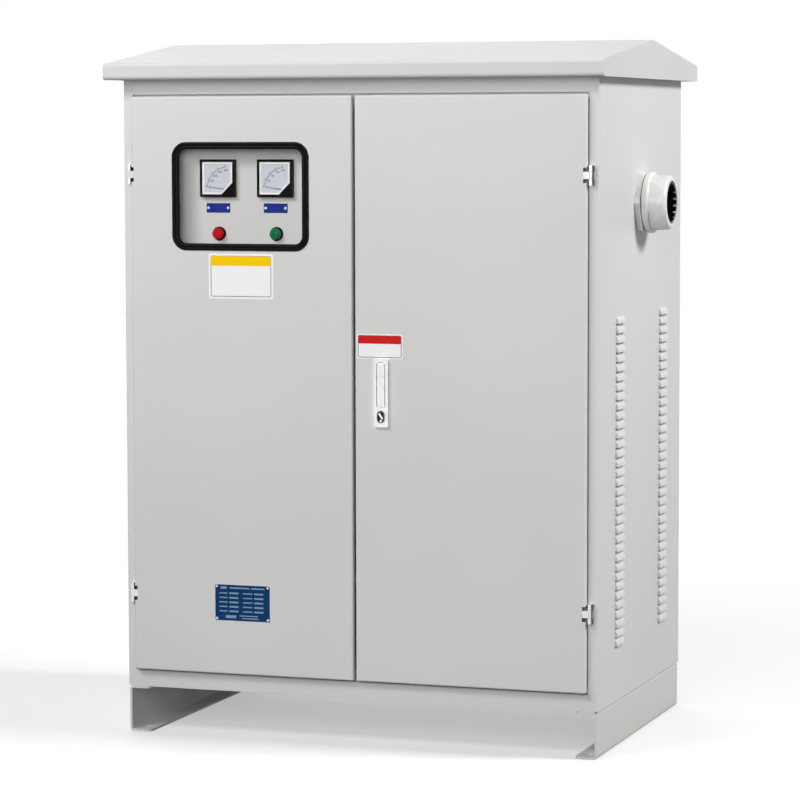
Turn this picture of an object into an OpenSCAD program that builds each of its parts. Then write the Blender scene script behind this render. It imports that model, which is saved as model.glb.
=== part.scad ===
// Outdoor sheet-metal cabinet of a step-up power transformer, with a gabled canopy, two doors,
// channel feet, louvred sides, a cable gland and a dry-type core and coils inside.
// Millimetres. X runs to the right, Y to the back and Z up, from the ground under the body's middle.

/* [Body] */
// Width over the side panels
body_w = 1058; // [960:2:1250]
// Depth from the front frame to the rear panel
body_d = 680; // [600:10:860]
// Height from the underside of the floor to the eaves
body_h = 1310; // [1250:10:1500]
// Thickness of the body's sheet
sheet_t = 2; // [1.5:0.5:3]
// Outer radius of the folded upright corners
corner_r = 4; // [3.5:0.5:6]
// Width of the front posts
post_face = 45; // [40:1:55]
// Height of the rail over the doors
header_face = 60; // [55:1:75]
// Height of the rail under the doors
sill_face = 60; // [55:1:75]
// Depth of the lips folded in around the doorway
frame_lip = 20; // [15:1:26]
// Depth of the rebate around the doorway, behind the doors' rims
rebate_deep = 8; // [5:0.5:10]
// Gap that the rebate leaves over and under the doors
rebate_gap = 4; // [2:0.5:6]
// Thickness of the floor plate
floor_t = 3; // [2:0.5:5]

/* [Feet] */
// Height of the channel feet
foot_h = 100; // [80:5:140]
// Width of a foot's flanges
foot_flange = 48; // [44:1:60]
// Thickness of a foot's web and flanges
foot_t = 5; // [4:0.5:6]
// Outer radius of a foot's bends
foot_r = 8; // [7:0.5:10]
// Distance of a foot's web in from the side panel's face
foot_in = 3; // [1:0.5:4]
// Radius of the flanges' corners
foot_corner_r = 12; // [6:1:16]
// Diameter of the holes for the ground bolts
foot_hole_d = 18; // [14:1:20]
// Distance of the bolt holes from the body's sides
foot_hole_side = 29; // [22:1:30]
// Distance of the bolt holes from the feet's ends
foot_hole_end = 40; // [30:1:60]

/* [Canopy] */
// Reach of the canopy past the side panels
side_overhang = 23; // [15:1:40]
// Reach of the canopy past the front and the rear
eave_overhang = 55; // [40:1:80]
// Height of the canopy's upright edge
fascia_h = 35; // [25:1:50]
// Rise from the top of the upright edge to the ridge
ridge_rise = 48; // [30:1:80]
// Thickness of the canopy's sheet
roof_t = 2; // [1.5:0.5:3]
// Outer radius of the canopy's folds
roof_r = 8; // [4:0.5:10]
// Lap of the canopy's lips over the top of the body
soffit_lap = 20; // [12:1:20]

/* [Doors] */
// Distance of the doors' outer edges from the body's sides
door_side = 23.5; // [20:0.5:24]
// Distance of the doors' top edges from the eaves
door_top = 35; // [28:1:45]
// Distance of the doors' bottom edges from the underside of the body
door_bottom = 40; // [30:1:46]
// Distance from the front frame to the doors' faces
door_proud = 18; // [16:1:22]
// Gap between the frame and the doors' rims
door_gap = 5; // [5:0.5:6]
// Gap between the two doors
door_split = 6; // [6:0.5:10]
// Thickness of the doors' sheet
door_t = 2; // [1.5:0.5:2.5]
// Radius of the doors' folded edges and corners
door_r = 4; // [3.5:0.5:8]
// Width of the stiffening ribs inside the doors
rib_w = 36; // [24:1:50]
// Depth of the stiffening ribs
rib_d = 16; // [12:1:20]
// Distance of the ribs' ends from the doors' edges
rib_inset = 45; // [40:1:70]
// Height of the lower rib above the doors' bottom edges
rib_low = 230; // [180:5:280]
// Height of the upper rib above the doors' bottom edges
rib_high = 470; // [420:5:490]

/* [Hinges] */
// Length of a hinge
hinge_l = 41; // [40:1:60]
// Diameter of the hinge knuckles
hinge_d = 11; // [9:0.5:11]
// Diameter of the hinge pins
hinge_pin_d = 5; // [4:0.5:6]
// Distance of the pins' axes from the doors' outer edges
hinge_out = 7; // [6:0.5:7]
// Height of an outer knuckle
hinge_knuckle = 12.5; // [10:0.5:16]
// Distance of the hinges' middles from the doors' ends
hinge_end = 166; // [120:1:200]
// Running gap around a pin
pin_play = 0.1; // [0.05:0.05:0.2]
// Gap between neighbouring knuckles
knuckle_play = 0.5; // [0.3:0.1:0.8]
// Length of the hinge arms inside the doors
hinge_arm = 30; // [24:1:38]
// Thickness of the hinge arms
hinge_arm_t = 4; // [3:0.5:5]
// Room over and under a hinge's arm in the notch of the door's edge
hinge_room = 8; // [3:0.5:8]

/* [Window] */
// Width over the window's rubber gasket
window_w = 311; // [260:1:330]
// Height over the gasket
window_h = 230; // [200:1:240]
// Outer radius of the gasket's corners
window_r = 32; // [22:1:40]
// Distance from the door's top edge to the middle of the window
window_drop = 212; // [200:1:240]
// Visible width of the gasket
gasket_w = 15; // [13:1:18]
// Thickness of each of the gasket's lips
gasket_lip = 3; // [2:0.5:4]
// Lap of the gasket over the door's sheet, and over the pane
gasket_lap = 6; // [4:0.5:6]
// Thickness of the window pane
pane_t = 3; // [2.5:0.5:4]

/* [Instruments] */
// Width of the instrument tray behind the window
tray_w = 344; // [340:1:360]
// Height of the tray
tray_h = 262; // [256:1:280]
// Distance from the door's face to the instrument panel
tray_deep = 45; // [42:1:75]
// Thickness of the tray's sheet
tray_t = 1.5; // [1:0.5:2]
// Distance between the middles of the two meters
meter_pitch = 131; // [110:1:140]
// Height of the meters' middles over the window's middle
meter_rise = 38; // [36:1:50]
// Width and height of a meter's bezel
meter_w = 80; // [72:1:80]
// Depth of a meter's bezel
meter_bezel = 12; // [10:1:16]
// Width of the bezel's frame around the dial
meter_rim = 4; // [3:0.5:6]
// Depth of the dial below the bezel's face
dial_deep = 2; // [1:0.5:4]
// Length of the dial's cut-off corner
dial_corner = 26; // [16:1:32]
// Width and height of a meter's case behind the panel
meter_case = 68; // [60:1:70]
// Length of a meter's case
meter_case_l = 45; // [30:1:60]
// Drop of the lamps' middles under the window's middle
lamp_drop = 80; // [74:1:84]
// Diameter of a lamp's bezel
lamp_d = 30; // [26:1:32]
// Diameter of a lamp's lens
lamp_lens_d = 23; // [18:1:24]
// Reach of a lamp's lens in front of the panel
lamp_reach = 18; // [11:1:18]
// Rounding of the lens's edge
lamp_dome_r = 4.5; // [2:0.5:6]
// Thickness of a lamp's bezel
lamp_bezel = 4.5; // [3:0.5:6]
// Diameter of a lamp's body in the panel
lamp_body_d = 22; // [16:1:22]
// Length of a lamp's body behind the panel
lamp_body_l = 38; // [25:1:50]

/* [Handle] */
// Width of the handle's plate
handle_w = 32; // [30:1:38]
// Height of the plate
handle_h = 142; // [138:1:160]
// Thickness of the plate
handle_t = 8; // [7:0.5:10]
// Distance from the door's free edge to the handle's middle
handle_side = 60; // [50:1:70]
// Height of the handle's middle above the doors' bottom edges
handle_rise = 613; // [580:1:640]
// Width of the lever
lever_w = 16; // [14:0.5:18]
// Length of the lever
lever_l = 92; // [84:1:94]
// Thickness of the lever
lever_t = 6; // [5:0.5:7]
// Gap around the lever in its recess
lever_play = 2; // [1.5:0.5:2.5]
// Gap between the lever and the recess's floor
lever_floor = 0.5; // [0.3:0.1:0.8]
// Distance from the plate's top edge to the lever's recess
lever_top = 4; // [3:1:6]
// Diameter of the lever's pin
lever_pin_d = 3; // [2.5:0.5:3]
// Diameter of the lock barrel
lock_d = 16; // [14:1:18]
// Distance from the plate's bottom edge to the lock's middle
lock_rise = 22; // [20:1:24]
// Reach of the lock barrel behind the door's face
lock_deep = 12; // [8:1:20]
// Diameter of the spindle behind the lever
spindle_d = 12; // [10:1:14]
// Reach of the spindle behind the door's face
spindle_deep = 34; // [28:1:40]
// Width of the latch's tongue
tongue_w = 18; // [16:1:24]
// Length of the tongue past the spindle's axis
tongue_l = 38; // [30:1:46]
// Thickness of the tongue
tongue_t = 4; // [3:0.5:5]

/* [Louvres] */
// Number of louvres in a column
louvre_count = 35; // [20:1:35]
// Distance between louvres
louvre_pitch = 20; // [20:0.5:24]
// Length of a louvre
louvre_l = 60; // [40:1:90]
// Reach of a louvre's hood out of the panel
louvre_out = 6; // [4:0.5:8]
// Height of a louvre's hood
louvre_h = 14; // [10:0.5:16]
// Thickness of a louvre's hood
louvre_t = 1.2; // [1:0.1:1.5]
// Drop of the slit below the hood's edge
louvre_slit = 2; // [1:0.5:4]
// Distance of the columns from the middle of the panel
louvre_side = 180; // [140:1:220]
// Height of the lowest louvre over the underside of the body
louvre_low = 118; // [100:1:140]

/* [Gland] */
// Distance of the gland's axis below the eaves
gland_drop = 263; // [240:1:300]
// Width over the flats of the gland's hexagonal foot
gland_hex_w = 121; // [118:1:126]
// Thickness of the hexagonal foot
gland_hex_t = 12; // [8:1:16]
// Outer diameter of the gland's neck
gland_neck_d = 106; // [104:1:108]
// Length of the neck in front of the foot
gland_neck_l = 45; // [40:1:50]
// Bore of the gland's body
gland_bore_d = 96; // [94:1:98]
// Gap between the foot and the nut
gland_nut_gap = 2; // [1.5:0.5:4]
// Length of the nut
gland_nut_l = 52; // [48:1:58]
// Outer diameter of the bead around the nut's rear end
gland_bead_d = 131; // [128:1:136]
// Length of the bead
gland_bead_l = 14; // [10:1:16]
// Rounding of the bead
gland_bead_r = 4; // [2:0.5:5]
// Diameter of the nut's dome where it leaves the bead
gland_dome_d = 122; // [120:0.5:122.5]
// Width over the nut's flats
gland_nut_w = 117; // [116:0.5:119]
// Outer diameter of the nut's front end
gland_front_d = 115; // [114:1:117]
// Mouth of the nut
gland_mouth_d = 92; // [84:1:93]
// Rounding of the nut's front edge
gland_nut_r = 8; // [5:1:10]
// Clear diameter of the rubber seal
gland_clear_d = 80; // [60:1:82]
// Running gap between the gland's pieces
gland_play = 0.15; // [0.1:0.05:0.3]
// Width over the flats of the lock nut inside the panel
gland_locknut_w = 134; // [126:1:140]
// Thickness of the lock nut
gland_locknut_t = 12; // [8:1:16]

/* [Transformer] */
// Distance between the core's limbs
limb_pitch = 250; // [240:1:280]
// Width of a limb
limb_w = 110; // [90:1:115]
// Depth of the core
core_d = 130; // [110:1:132]
// Height of the core's yokes
yoke_h = 120; // [110:1:140]
// Height of the core's windows
core_window_h = 480; // [440:1:520]
// Outer diameter of a coil
coil_d = 236; // [220:1:238]
// Inner diameter of a coil
coil_bore_d = 176; // [174:1:180]
// Rounding of a coil's edges
coil_r = 7.5; // [4:0.5:10]
// Height of the insulating blocks above and under the coils
block_h = 30; // [20:1:36]
// Width and depth of an insulating block
block_w = 30; // [24:1:36]
// Height of the clamping channels
clamp_h = 100; // [90:1:110]
// Depth of the clamping channels
clamp_d = 45; // [42:1:55]
// Thickness of the clamping channels
clamp_t = 6; // [5:0.5:8]
// Reach of the clamping channels past the core
clamp_over = 30; // [20:1:50]
// Height of the rails under the core
rail_h = 60; // [50:1:80]
// Width of the rails
rail_w = 60; // [50:1:80]
// Thickness of the rails
rail_t = 5; // [4:0.5:6]
// Length of the rails
rail_l = 420; // [380:10:520]
// Thickness of the terminal board
board_t = 12; // [8:1:16]
// Height of the terminal board
board_h = 90; // [70:1:110]
// Length of the terminal board
board_l = 600; // [560:1:620]
// Diameter of the terminal studs
stud_d = 14; // [10:1:18]
// Length of the terminal studs in front of the board
stud_l = 36; // [24:1:44]
// Distance between the pairs of studs
stud_group = 225; // [180:1:240]
// Distance between the two studs of a pair
stud_pair = 56; // [40:1:70]
// Diameter of the studs' collars
stud_collar_d = 25; // [20:1:30]
// Thickness of the studs' collars
stud_collar_t = 7; // [4:1:10]

/* [Hidden] */
$fn = 48;

// Overshoot of a cut past the faces that it opens
cut = 1;

side_x = body_w / 2;
front_y = -body_d / 2;
rear_y = body_d / 2;
floor_z = foot_h;
eave_z = foot_h + body_h;
lip_y = front_y + frame_lip;
opening_x = side_x - post_face;

roof_x = side_x + side_overhang;
roof_y = rear_y + eave_overhang;
fascia_z = eave_z + fascia_h;
ridge_z = fascia_z + ridge_rise;
roof_fold_y = roof_y - roof_r;
roof_pitch = atan(ridge_rise / roof_fold_y);

door_x = side_x - door_side;
door_w = door_x - door_split / 2;
door_mid_x = (door_x + door_split / 2) / 2;
door_z = floor_z + door_bottom;
door_top_z = eave_z - door_top;
door_h = door_top_z - door_z;
door_mid_z = (door_z + door_top_z) / 2;
door_y = front_y - door_proud;
door_rim_y = front_y - door_gap;
door_rim = door_rim_y - door_y;
door_inner_y = door_y + door_t;

hinge_x = door_x + hinge_out;
hinge_y = (door_y + front_y) / 2;
hinge_low_z = door_z + hinge_end;
hinge_high_z = door_top_z - hinge_end;
hinge_leaf = hinge_l - 2 * hinge_knuckle - 2 * knuckle_play;
rebate_x = hinge_x - hinge_d / 2;

window_z = door_top_z - window_drop;
gasket_back = pane_t + gasket_lip;
panel_y = door_y + tray_deep;
meter_z = window_z + meter_rise;
lamp_z = window_z - lamp_drop;

handle_x = door_split / 2 + handle_side;
handle_z = door_z + handle_rise;
handle_top_z = handle_z + handle_h / 2;
handle_face_y = door_y - handle_t;
recess_w = lever_w + 2 * lever_play;
recess_top_z = handle_top_z - lever_top;
lever_top_z = recess_top_z - lever_play;
lever_axis_z = lever_top_z - lever_t / 2;
spindle_z = lever_top_z - lever_w / 2;
lever_axis_y = handle_face_y + lever_t / 2;
lock_z = handle_z - handle_h / 2 + lock_rise;

gland_z = eave_z - gland_drop;
gland_foot_x = side_x + gland_hex_t;
gland_rear_x = side_x - sheet_t - gland_locknut_t;
gland_neck_x = gland_foot_x + gland_neck_l;
gland_nut_x = gland_foot_x + gland_nut_gap;
gland_end_x = gland_nut_x + gland_nut_l;

rail_z = floor_z + floor_t;
core_z = rail_z + rail_h;
core_window_z = core_z + yoke_h;
core_top_z = core_window_z + core_window_h + yoke_h;
core_w = 2 * limb_pitch + limb_w;
clamp_w = core_w + 2 * clamp_over;
bottom_clamp_z = core_window_z - clamp_h;
top_clamp_z = core_window_z + core_window_h;
coil_z = core_window_z + block_h;
coil_h = core_window_h - 2 * block_h;
board_y = -core_d / 2 - clamp_d - board_t;
board_z = top_clamp_z + (clamp_h - board_h) / 2;

// Rounded rectangle around the origin
module rounded(w, h, r) {
    square([w - 2 * r, h], center = true);
    square([w, h - 2 * r], center = true);
    for (sx = [-1, 1], sy = [-1, 1])
        translate([sx * (w / 2 - r), sy * (h / 2 - r)]) circle(r);
}

// Outline drawn in X and Z, given depth from y forwards
module upright(y, depth) {
    translate([0, y, 0]) rotate([90, 0, 0]) linear_extrude(depth) children();
}

// Outline drawn in Y and Z, given length from x to the right
module lengthwise(x, length) {
    translate([x, 0, 0]) rotate([90, 0, 90]) linear_extrude(length) children();
}

// Round bar along X
module bar_x(x, y, z, d, length) {
    translate([x, y, z]) rotate([0, 90, 0]) cylinder(d = d, h = length);
}

// Round bar along Y, from y backwards
module bar_y(x, y, z, d, length) {
    translate([x, y, z]) rotate([-90, 0, 0]) cylinder(d = d, h = length);
}

// Folded corner in plan: a quarter of a ring, outer corner at the origin, sheet towards +X and +Y
module folded_corner() {
    intersection() {
        square(corner_r);
        translate([corner_r, corner_r]) difference() {
            circle(corner_r);
            circle(corner_r - sheet_t);
        }
    }
}

// Section of a louvre's hood in X and Z, bulging past x = 0 over its lower edge at z = 0
module hood_section(out) {
    hood_r = (louvre_h * louvre_h + louvre_out * louvre_out) / (2 * louvre_out);
    intersection() {
        translate([louvre_out - hood_r, 0]) circle(hood_r - louvre_out + out);
        translate([-sheet_t - cut, 0]) square([louvre_out + sheet_t + 2 * cut, louvre_h]);
    }
}

// One louvre's hood, or the space under it, along Y
module hood(out, length) {
    translate([0, length / 2, 0]) rotate([90, 0, 0]) linear_extrude(length) hood_section(out);
}

// Places of the louvres on the right side panel
module louvre_places() {
    for (column = [-1, 1], row = [0 : louvre_count - 1])
        translate([side_x, column * louvre_side, floor_z + louvre_low + row * louvre_pitch])
            children();
}

// Side panel at the right, flat sheet with pressed louvres
module side_sheet() {
    difference() {
        union() {
            translate([side_x - sheet_t, front_y + corner_r, floor_z])
                cube([sheet_t, body_d - 2 * corner_r, body_h]);
            louvre_places() intersection() {
                hood(louvre_out, louvre_l);
                translate([-sheet_t, -louvre_l, 0]) cube([louvre_out + sheet_t, 2 * louvre_l, louvre_h]);
            }
        }
        louvre_places() {
            hood(louvre_out - louvre_t, louvre_l - 2 * louvre_t);
            translate([-sheet_t - cut, louvre_t - louvre_l / 2, -louvre_slit])
                cube([sheet_t + 2 * cut, louvre_l - 2 * louvre_t, louvre_slit]);
        }
    }
}

module left_side_panel() {
    color("gainsboro") mirror([1, 0, 0]) side_sheet();
}

module right_side_panel() {
    color("gainsboro") difference() {
        side_sheet();
        bar_x(side_x - sheet_t - cut, 0, gland_z, gland_neck_d + 2 * gland_play, sheet_t + 2 * cut);
    }
}

module rear_panel() {
    color("gainsboro") translate([0, 0, floor_z]) linear_extrude(body_h) {
        translate([corner_r - side_x, rear_y - sheet_t]) square([body_w - 2 * corner_r, sheet_t]);
        for (side = [0, 1])
            mirror([side, 0, 0]) translate([-side_x, rear_y]) mirror([0, 1, 0]) folded_corner();
    }
}

// Front post at the left: folded corner, face as far as the hinges, rebate and lip along the doorway
module front_post() {
    face = side_x - rebate_x;
    translate([-side_x, front_y, floor_z]) linear_extrude(body_h) {
        folded_corner();
        translate([corner_r, 0]) square([face - corner_r, sheet_t]);
        translate([face - sheet_t, 0]) square([sheet_t, rebate_deep + sheet_t]);
        translate([face - sheet_t, rebate_deep]) square([post_face - face + sheet_t, sheet_t]);
        translate([post_face - sheet_t, rebate_deep]) square([sheet_t, frame_lip - rebate_deep]);
    }
}

module left_front_post() {
    color("gainsboro") front_post();
}

module right_front_post() {
    color("gainsboro") mirror([1, 0, 0]) front_post();
}

// Folded rail across the doorway, up from z = 0: a face that covers the posts' rebates, then its own
// rebate and lip
module frame_rail(height, face) {
    lengthwise(-rebate_x, 2 * rebate_x) translate([front_y, 0]) {
        square([sheet_t, face]);
        translate([0, face - sheet_t]) square([rebate_deep, sheet_t]);
    }
    lengthwise(-opening_x, 2 * opening_x) translate([front_y, 0]) {
        square([frame_lip, sheet_t]);
        translate([0, face - sheet_t]) square([rebate_deep + sheet_t, sheet_t]);
        translate([rebate_deep, face - sheet_t]) square([sheet_t, height - face + sheet_t]);
        translate([rebate_deep, height - sheet_t]) square([frame_lip - rebate_deep, sheet_t]);
    }
}

module header_rail() {
    color("gainsboro") translate([0, 0, eave_z]) mirror([0, 0, 1])
        frame_rail(header_face, door_top - rebate_gap);
}

module sill_rail() {
    color("gainsboro") translate([0, 0, floor_z]) frame_rail(sill_face, door_bottom - rebate_gap);
}

// Plan of the floor and the top, inside the walls and behind the frame
module plate_plan() {
    difference() {
        rounded(body_w - 2 * sheet_t, body_d - 2 * sheet_t, corner_r - sheet_t);
        translate([-side_x, front_y]) square([body_w, frame_lip]);
    }
}

module floor_panel() {
    color("silver") translate([0, 0, floor_z]) linear_extrude(floor_t) plate_plan();
}

module top_panel() {
    color("gainsboro") translate([0, 0, eave_z - sheet_t]) linear_extrude(sheet_t) plate_plan();
}

// Plan of a foot's flange, with its inner corners rounded
module flange_plan() {
    square([foot_flange - foot_corner_r, body_d]);
    translate([0, foot_corner_r]) square([foot_flange, body_d - 2 * foot_corner_r]);
    for (end = [foot_corner_r, body_d - foot_corner_r])
        translate([foot_flange - foot_corner_r, end]) circle(foot_corner_r);
}

// Outer form of a foot's channel in X and Z, bent at the left, drawn in by an inset
module channel_form(inset) {
    translate([foot_r, inset]) square([foot_flange - foot_r + inset, foot_h - 2 * inset]);
    translate([inset, foot_r]) square([foot_r - inset, foot_h - 2 * foot_r]);
    for (z = [foot_r, foot_h - foot_r]) translate([foot_r, z]) circle(foot_r - inset);
}

// Channel foot at the left, web outside
module foot() {
    translate([foot_in - side_x, front_y, 0]) difference() {
        intersection() {
            upright(body_d, body_d) difference() {
                channel_form(0);
                channel_form(foot_t);
            }
            linear_extrude(foot_h) flange_plan();
        }
        for (end = [foot_hole_end, body_d - foot_hole_end])
            translate([foot_hole_side - foot_in, end, -cut]) cylinder(d = foot_hole_d, h = foot_t + 2 * cut);
    }
}

module left_foot() {
    color("lightgray") foot();
}

module right_foot() {
    color("lightgray") mirror([1, 0, 0]) foot();
}

// Section of the canopy in Y and Z, its folds rounded, drawn in by an inset
module canopy_section(inset) {
    r = roof_r - inset;
    low = eave_z + roof_r;
    high = fascia_z - roof_r;
    folds = [
        [-roof_fold_y, low], [roof_fold_y, low], [roof_fold_y, high], [0, ridge_z - roof_r],
        [-roof_fold_y, high]
    ];
    outward = [
        [0, -1], [1, 0], [sin(roof_pitch), cos(roof_pitch)], [-sin(roof_pitch), cos(roof_pitch)], [-1, 0]
    ];
    last = len(folds) - 1;
    polygon([for (i = [0 : last], end = [0, 1]) folds[(i + end) % len(folds)] + r * outward[i]]);
    for (fold = folds) translate(fold) circle(r);
}

module roof_canopy() {
    color("whitesmoke") lengthwise(roof_t - roof_x, 2 * (roof_x - roof_t)) difference() {
        canopy_section(0);
        canopy_section(roof_t);
        translate([soffit_lap - rear_y, eave_z - cut]) square([body_d - 2 * soffit_lap, roof_r]);
    }
}

// End of the canopy at the left: the gable and its lip over the body
module gable() {
    lengthwise(-roof_x, roof_t) canopy_section(0);
    translate([-roof_x, soffit_lap - rear_y, eave_z])
        cube([side_overhang + soffit_lap, body_d - 2 * soffit_lap, roof_t]);
}

module left_gable() {
    color("whitesmoke") gable();
}

module right_gable() {
    color("whitesmoke") mirror([1, 0, 0]) gable();
}

// Plan of a folded plate with its face at y = 0 and its two front corners rounded
module front_rounded(w, depth, r) {
    translate([-w / 2, r]) square([w, depth - r]);
    translate([r - w / 2, 0]) square([w - 2 * r, r]);
    for (side = [-1, 1]) translate([side * (w / 2 - r), r]) circle(r);
}

// Solid outer form of the right door, drawn in by an inset, from its face to a place behind it
module door_form(inset, rear_end) {
    r = door_r - inset;
    w = door_w - 2 * inset;
    h = door_h - 2 * inset;
    depth = rear_end - door_y - inset;
    translate([door_mid_x, door_y + inset, door_mid_z]) intersection() {
        translate([0, 0, -h / 2]) linear_extrude(h) front_rounded(w, depth, r);
        lengthwise(-w / 2, w) mirror([1, -1]) front_rounded(h, depth, r);
        upright(depth, depth) rounded(w, h, r);
    }
}

// Folded door pan at the right, with notches for its hinges
module door_pan() {
    difference() {
        door_form(0, door_rim_y);
        door_form(door_t, door_rim_y + cut);
        for (z = [hinge_low_z, hinge_high_z])
            translate([door_x - hinge_out, door_y - cut, z - hinge_leaf / 2 - hinge_room])
                cube([hinge_out + cut, door_rim + 2 * cut, hinge_leaf + 2 * hinge_room]);
    }
}

// Outline of the window, drawn in by an inset from the gasket's outer edge
module window_outline(inset) {
    translate([-door_mid_x, window_z])
        rounded(window_w - 2 * inset, window_h - 2 * inset, window_r - inset);
}

module left_door() {
    color("gainsboro") difference() {
        mirror([1, 0, 0]) door_pan();
        upright(door_inner_y + cut, door_t + 2 * cut) window_outline(gasket_lap);
    }
}

module right_door() {
    color("gainsboro") difference() {
        door_pan();
        bar_y(handle_x, door_y - cut, lock_z, lock_d + 2 * pin_play, door_t + 2 * cut);
        bar_y(handle_x, door_y - cut, spindle_z, spindle_d + 2 * pin_play, door_t + 2 * cut);
    }
}

// Two ribs across the inside of the right door, folded to a channel and welded by their flanges' edges
module door_ribs() {
    for (rise = [rib_low, rib_high])
        difference() {
            translate([door_split / 2 + rib_inset, door_inner_y, door_z + rise - rib_w / 2])
                cube([door_w - 2 * rib_inset, rib_d, rib_w]);
            translate([0, door_inner_y - cut, door_z + rise - rib_w / 2 + door_t])
                cube([side_x, rib_d - door_t + cut, rib_w - 2 * door_t]);
        }
}

module left_door_ribs() {
    color("gainsboro") mirror([1, 0, 0]) door_ribs();
}

module right_door_ribs() {
    color("gainsboro") door_ribs();
}

// Fixed half of each right-hand hinge: two knuckles on the post, and the pin between them
module post_hinges() {
    for (z = [hinge_low_z, hinge_high_z]) translate([hinge_x, hinge_y, z - hinge_l / 2]) {
        cylinder(d = hinge_pin_d, h = hinge_l);
        for (end = [0, hinge_l - hinge_knuckle]) translate([0, 0, end]) {
            cylinder(d = hinge_d, h = hinge_knuckle);
            translate([-hinge_d / 2, 0, 0]) cube([hinge_d, front_y - hinge_y, hinge_knuckle]);
        }
    }
}

// Moving half of each right-hand hinge: the middle knuckle and its arm inside the door
module door_hinges() {
    for (z = [hinge_low_z, hinge_high_z]) translate([hinge_x, hinge_y, z - hinge_leaf / 2]) difference() {
        union() {
            cylinder(d = hinge_d, h = hinge_leaf);
            translate([-hinge_out - hinge_arm, door_inner_y - hinge_y, 0])
                cube([hinge_out + hinge_arm, hinge_arm_t, hinge_leaf]);
        }
        translate([0, 0, -cut]) cylinder(d = hinge_pin_d + 2 * pin_play, h = hinge_leaf + 2 * cut);
    }
}

module left_post_hinges() {
    color("silver") mirror([1, 0, 0]) post_hinges();
}

module right_post_hinges() {
    color("silver") post_hinges();
}

module left_door_hinges() {
    color("silver") mirror([1, 0, 0]) door_hinges();
}

module right_door_hinges() {
    color("silver") door_hinges();
}

// Ring of the gasket between two insets, from a depth behind the door's face, given thickness
module gasket_ring(outer, inner, depth, thickness) {
    upright(door_y + depth + thickness, thickness) difference() {
        window_outline(outer);
        window_outline(inner);
    }
}

module window_gasket() {
    web = gasket_w - gasket_lap;
    color("dimgray") {
        gasket_ring(0, gasket_w, -gasket_lip, gasket_lip);
        gasket_ring(gasket_lap, web, 0, gasket_back);
        gasket_ring(0, web, door_t, gasket_back - door_t);
        gasket_ring(gasket_lap, gasket_w, pane_t, gasket_lip);
    }
}

module window_pane() {
    color("lightcyan", 0.4) upright(door_y + pane_t, pane_t) window_outline(gasket_w - gasket_lap);
}

// Places of the two meters, or of the two lamps
module instrument_place(side, z) {
    translate([side * meter_pitch / 2 - door_mid_x, panel_y, z]) children();
}

module instrument_tray() {
    tray_l = panel_y + tray_t - door_inner_y;
    color("white") difference() {
        translate([-door_mid_x - tray_w / 2, door_inner_y, window_z - tray_h / 2])
            cube([tray_w, tray_l, tray_h]);
        translate([tray_t - door_mid_x - tray_w / 2, door_inner_y - cut, tray_t + window_z - tray_h / 2])
            cube([tray_w - 2 * tray_t, tray_l - tray_t + cut, tray_h - 2 * tray_t]);
        for (side = [-1, 1]) {
            instrument_place(side, meter_z) translate([-meter_case / 2, -cut, -meter_case / 2])
                cube([meter_case, tray_t + 2 * cut, meter_case]);
            instrument_place(side, lamp_z) bar_y(0, -cut, 0, lamp_body_d, tray_t + 2 * cut);
        }
    }
}

// Square panel meter: bezel with a sunk dial, its lower right corner covered, and the case behind
module meter(side) {
    dial_w = meter_w - 2 * meter_rim;
    instrument_place(side, meter_z) {
        difference() {
            translate([-meter_w / 2, -meter_bezel, -meter_w / 2]) cube([meter_w, meter_bezel, meter_w]);
            upright(dial_deep - meter_bezel, dial_deep + cut) polygon([
                [-dial_w / 2, -dial_w / 2], [dial_w / 2 - dial_corner, -dial_w / 2],
                [dial_w / 2, dial_corner - dial_w / 2], [dial_w / 2, dial_w / 2], [-dial_w / 2, dial_w / 2]
            ]);
        }
        translate([-meter_case / 2, 0, -meter_case / 2]) cube([meter_case, meter_case_l, meter_case]);
    }
}

module left_meter() {
    color("dimgray") meter(-1);
}

module right_meter() {
    color("dimgray") meter(1);
}

// Panel lamp: bezel, domed lens and the body behind the panel
module lamp(side) {
    instrument_place(side, lamp_z) rotate([90, 0, 0]) rotate_extrude() {
        square([lamp_d / 2, lamp_bezel]);
        square([lamp_lens_d / 2, lamp_reach - lamp_dome_r]);
        square([lamp_lens_d / 2 - lamp_dome_r, lamp_reach]);
        translate([lamp_lens_d / 2 - lamp_dome_r, lamp_reach - lamp_dome_r]) circle(lamp_dome_r);
        translate([0, -lamp_body_l]) square([lamp_body_d / 2, lamp_body_l]);
    }
}

module red_lamp() {
    color("crimson") lamp(-1);
}

module green_lamp() {
    color("limegreen") lamp(1);
}

// Outline of the lever or of its recess: round at the top, from its top down
module lever_outline(top, w, l) {
    translate([handle_x, top - w / 2]) circle(d = w);
    translate([handle_x - w / 2, top - l]) square([w, l - w / 2]);
}

module handle_plate() {
    recess_l = lever_l + 2 * lever_play;
    recess_floor_y = handle_face_y + lever_t + lever_floor;
    color("whitesmoke") {
        difference() {
            upright(door_y, handle_t) translate([handle_x, handle_z]) rounded(handle_w, handle_h, lever_top);
            upright(recess_floor_y, lever_t + lever_floor + cut)
                lever_outline(recess_top_z, recess_w, recess_l);
            bar_y(handle_x, handle_face_y - cut, lock_z, lock_d + 2 * pin_play, handle_t + 2 * cut);
        }
        bar_x(handle_x - recess_w / 2 - lever_play, lever_axis_y, lever_axis_z, lever_pin_d,
            recess_w + 2 * lever_play);
    }
}

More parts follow.
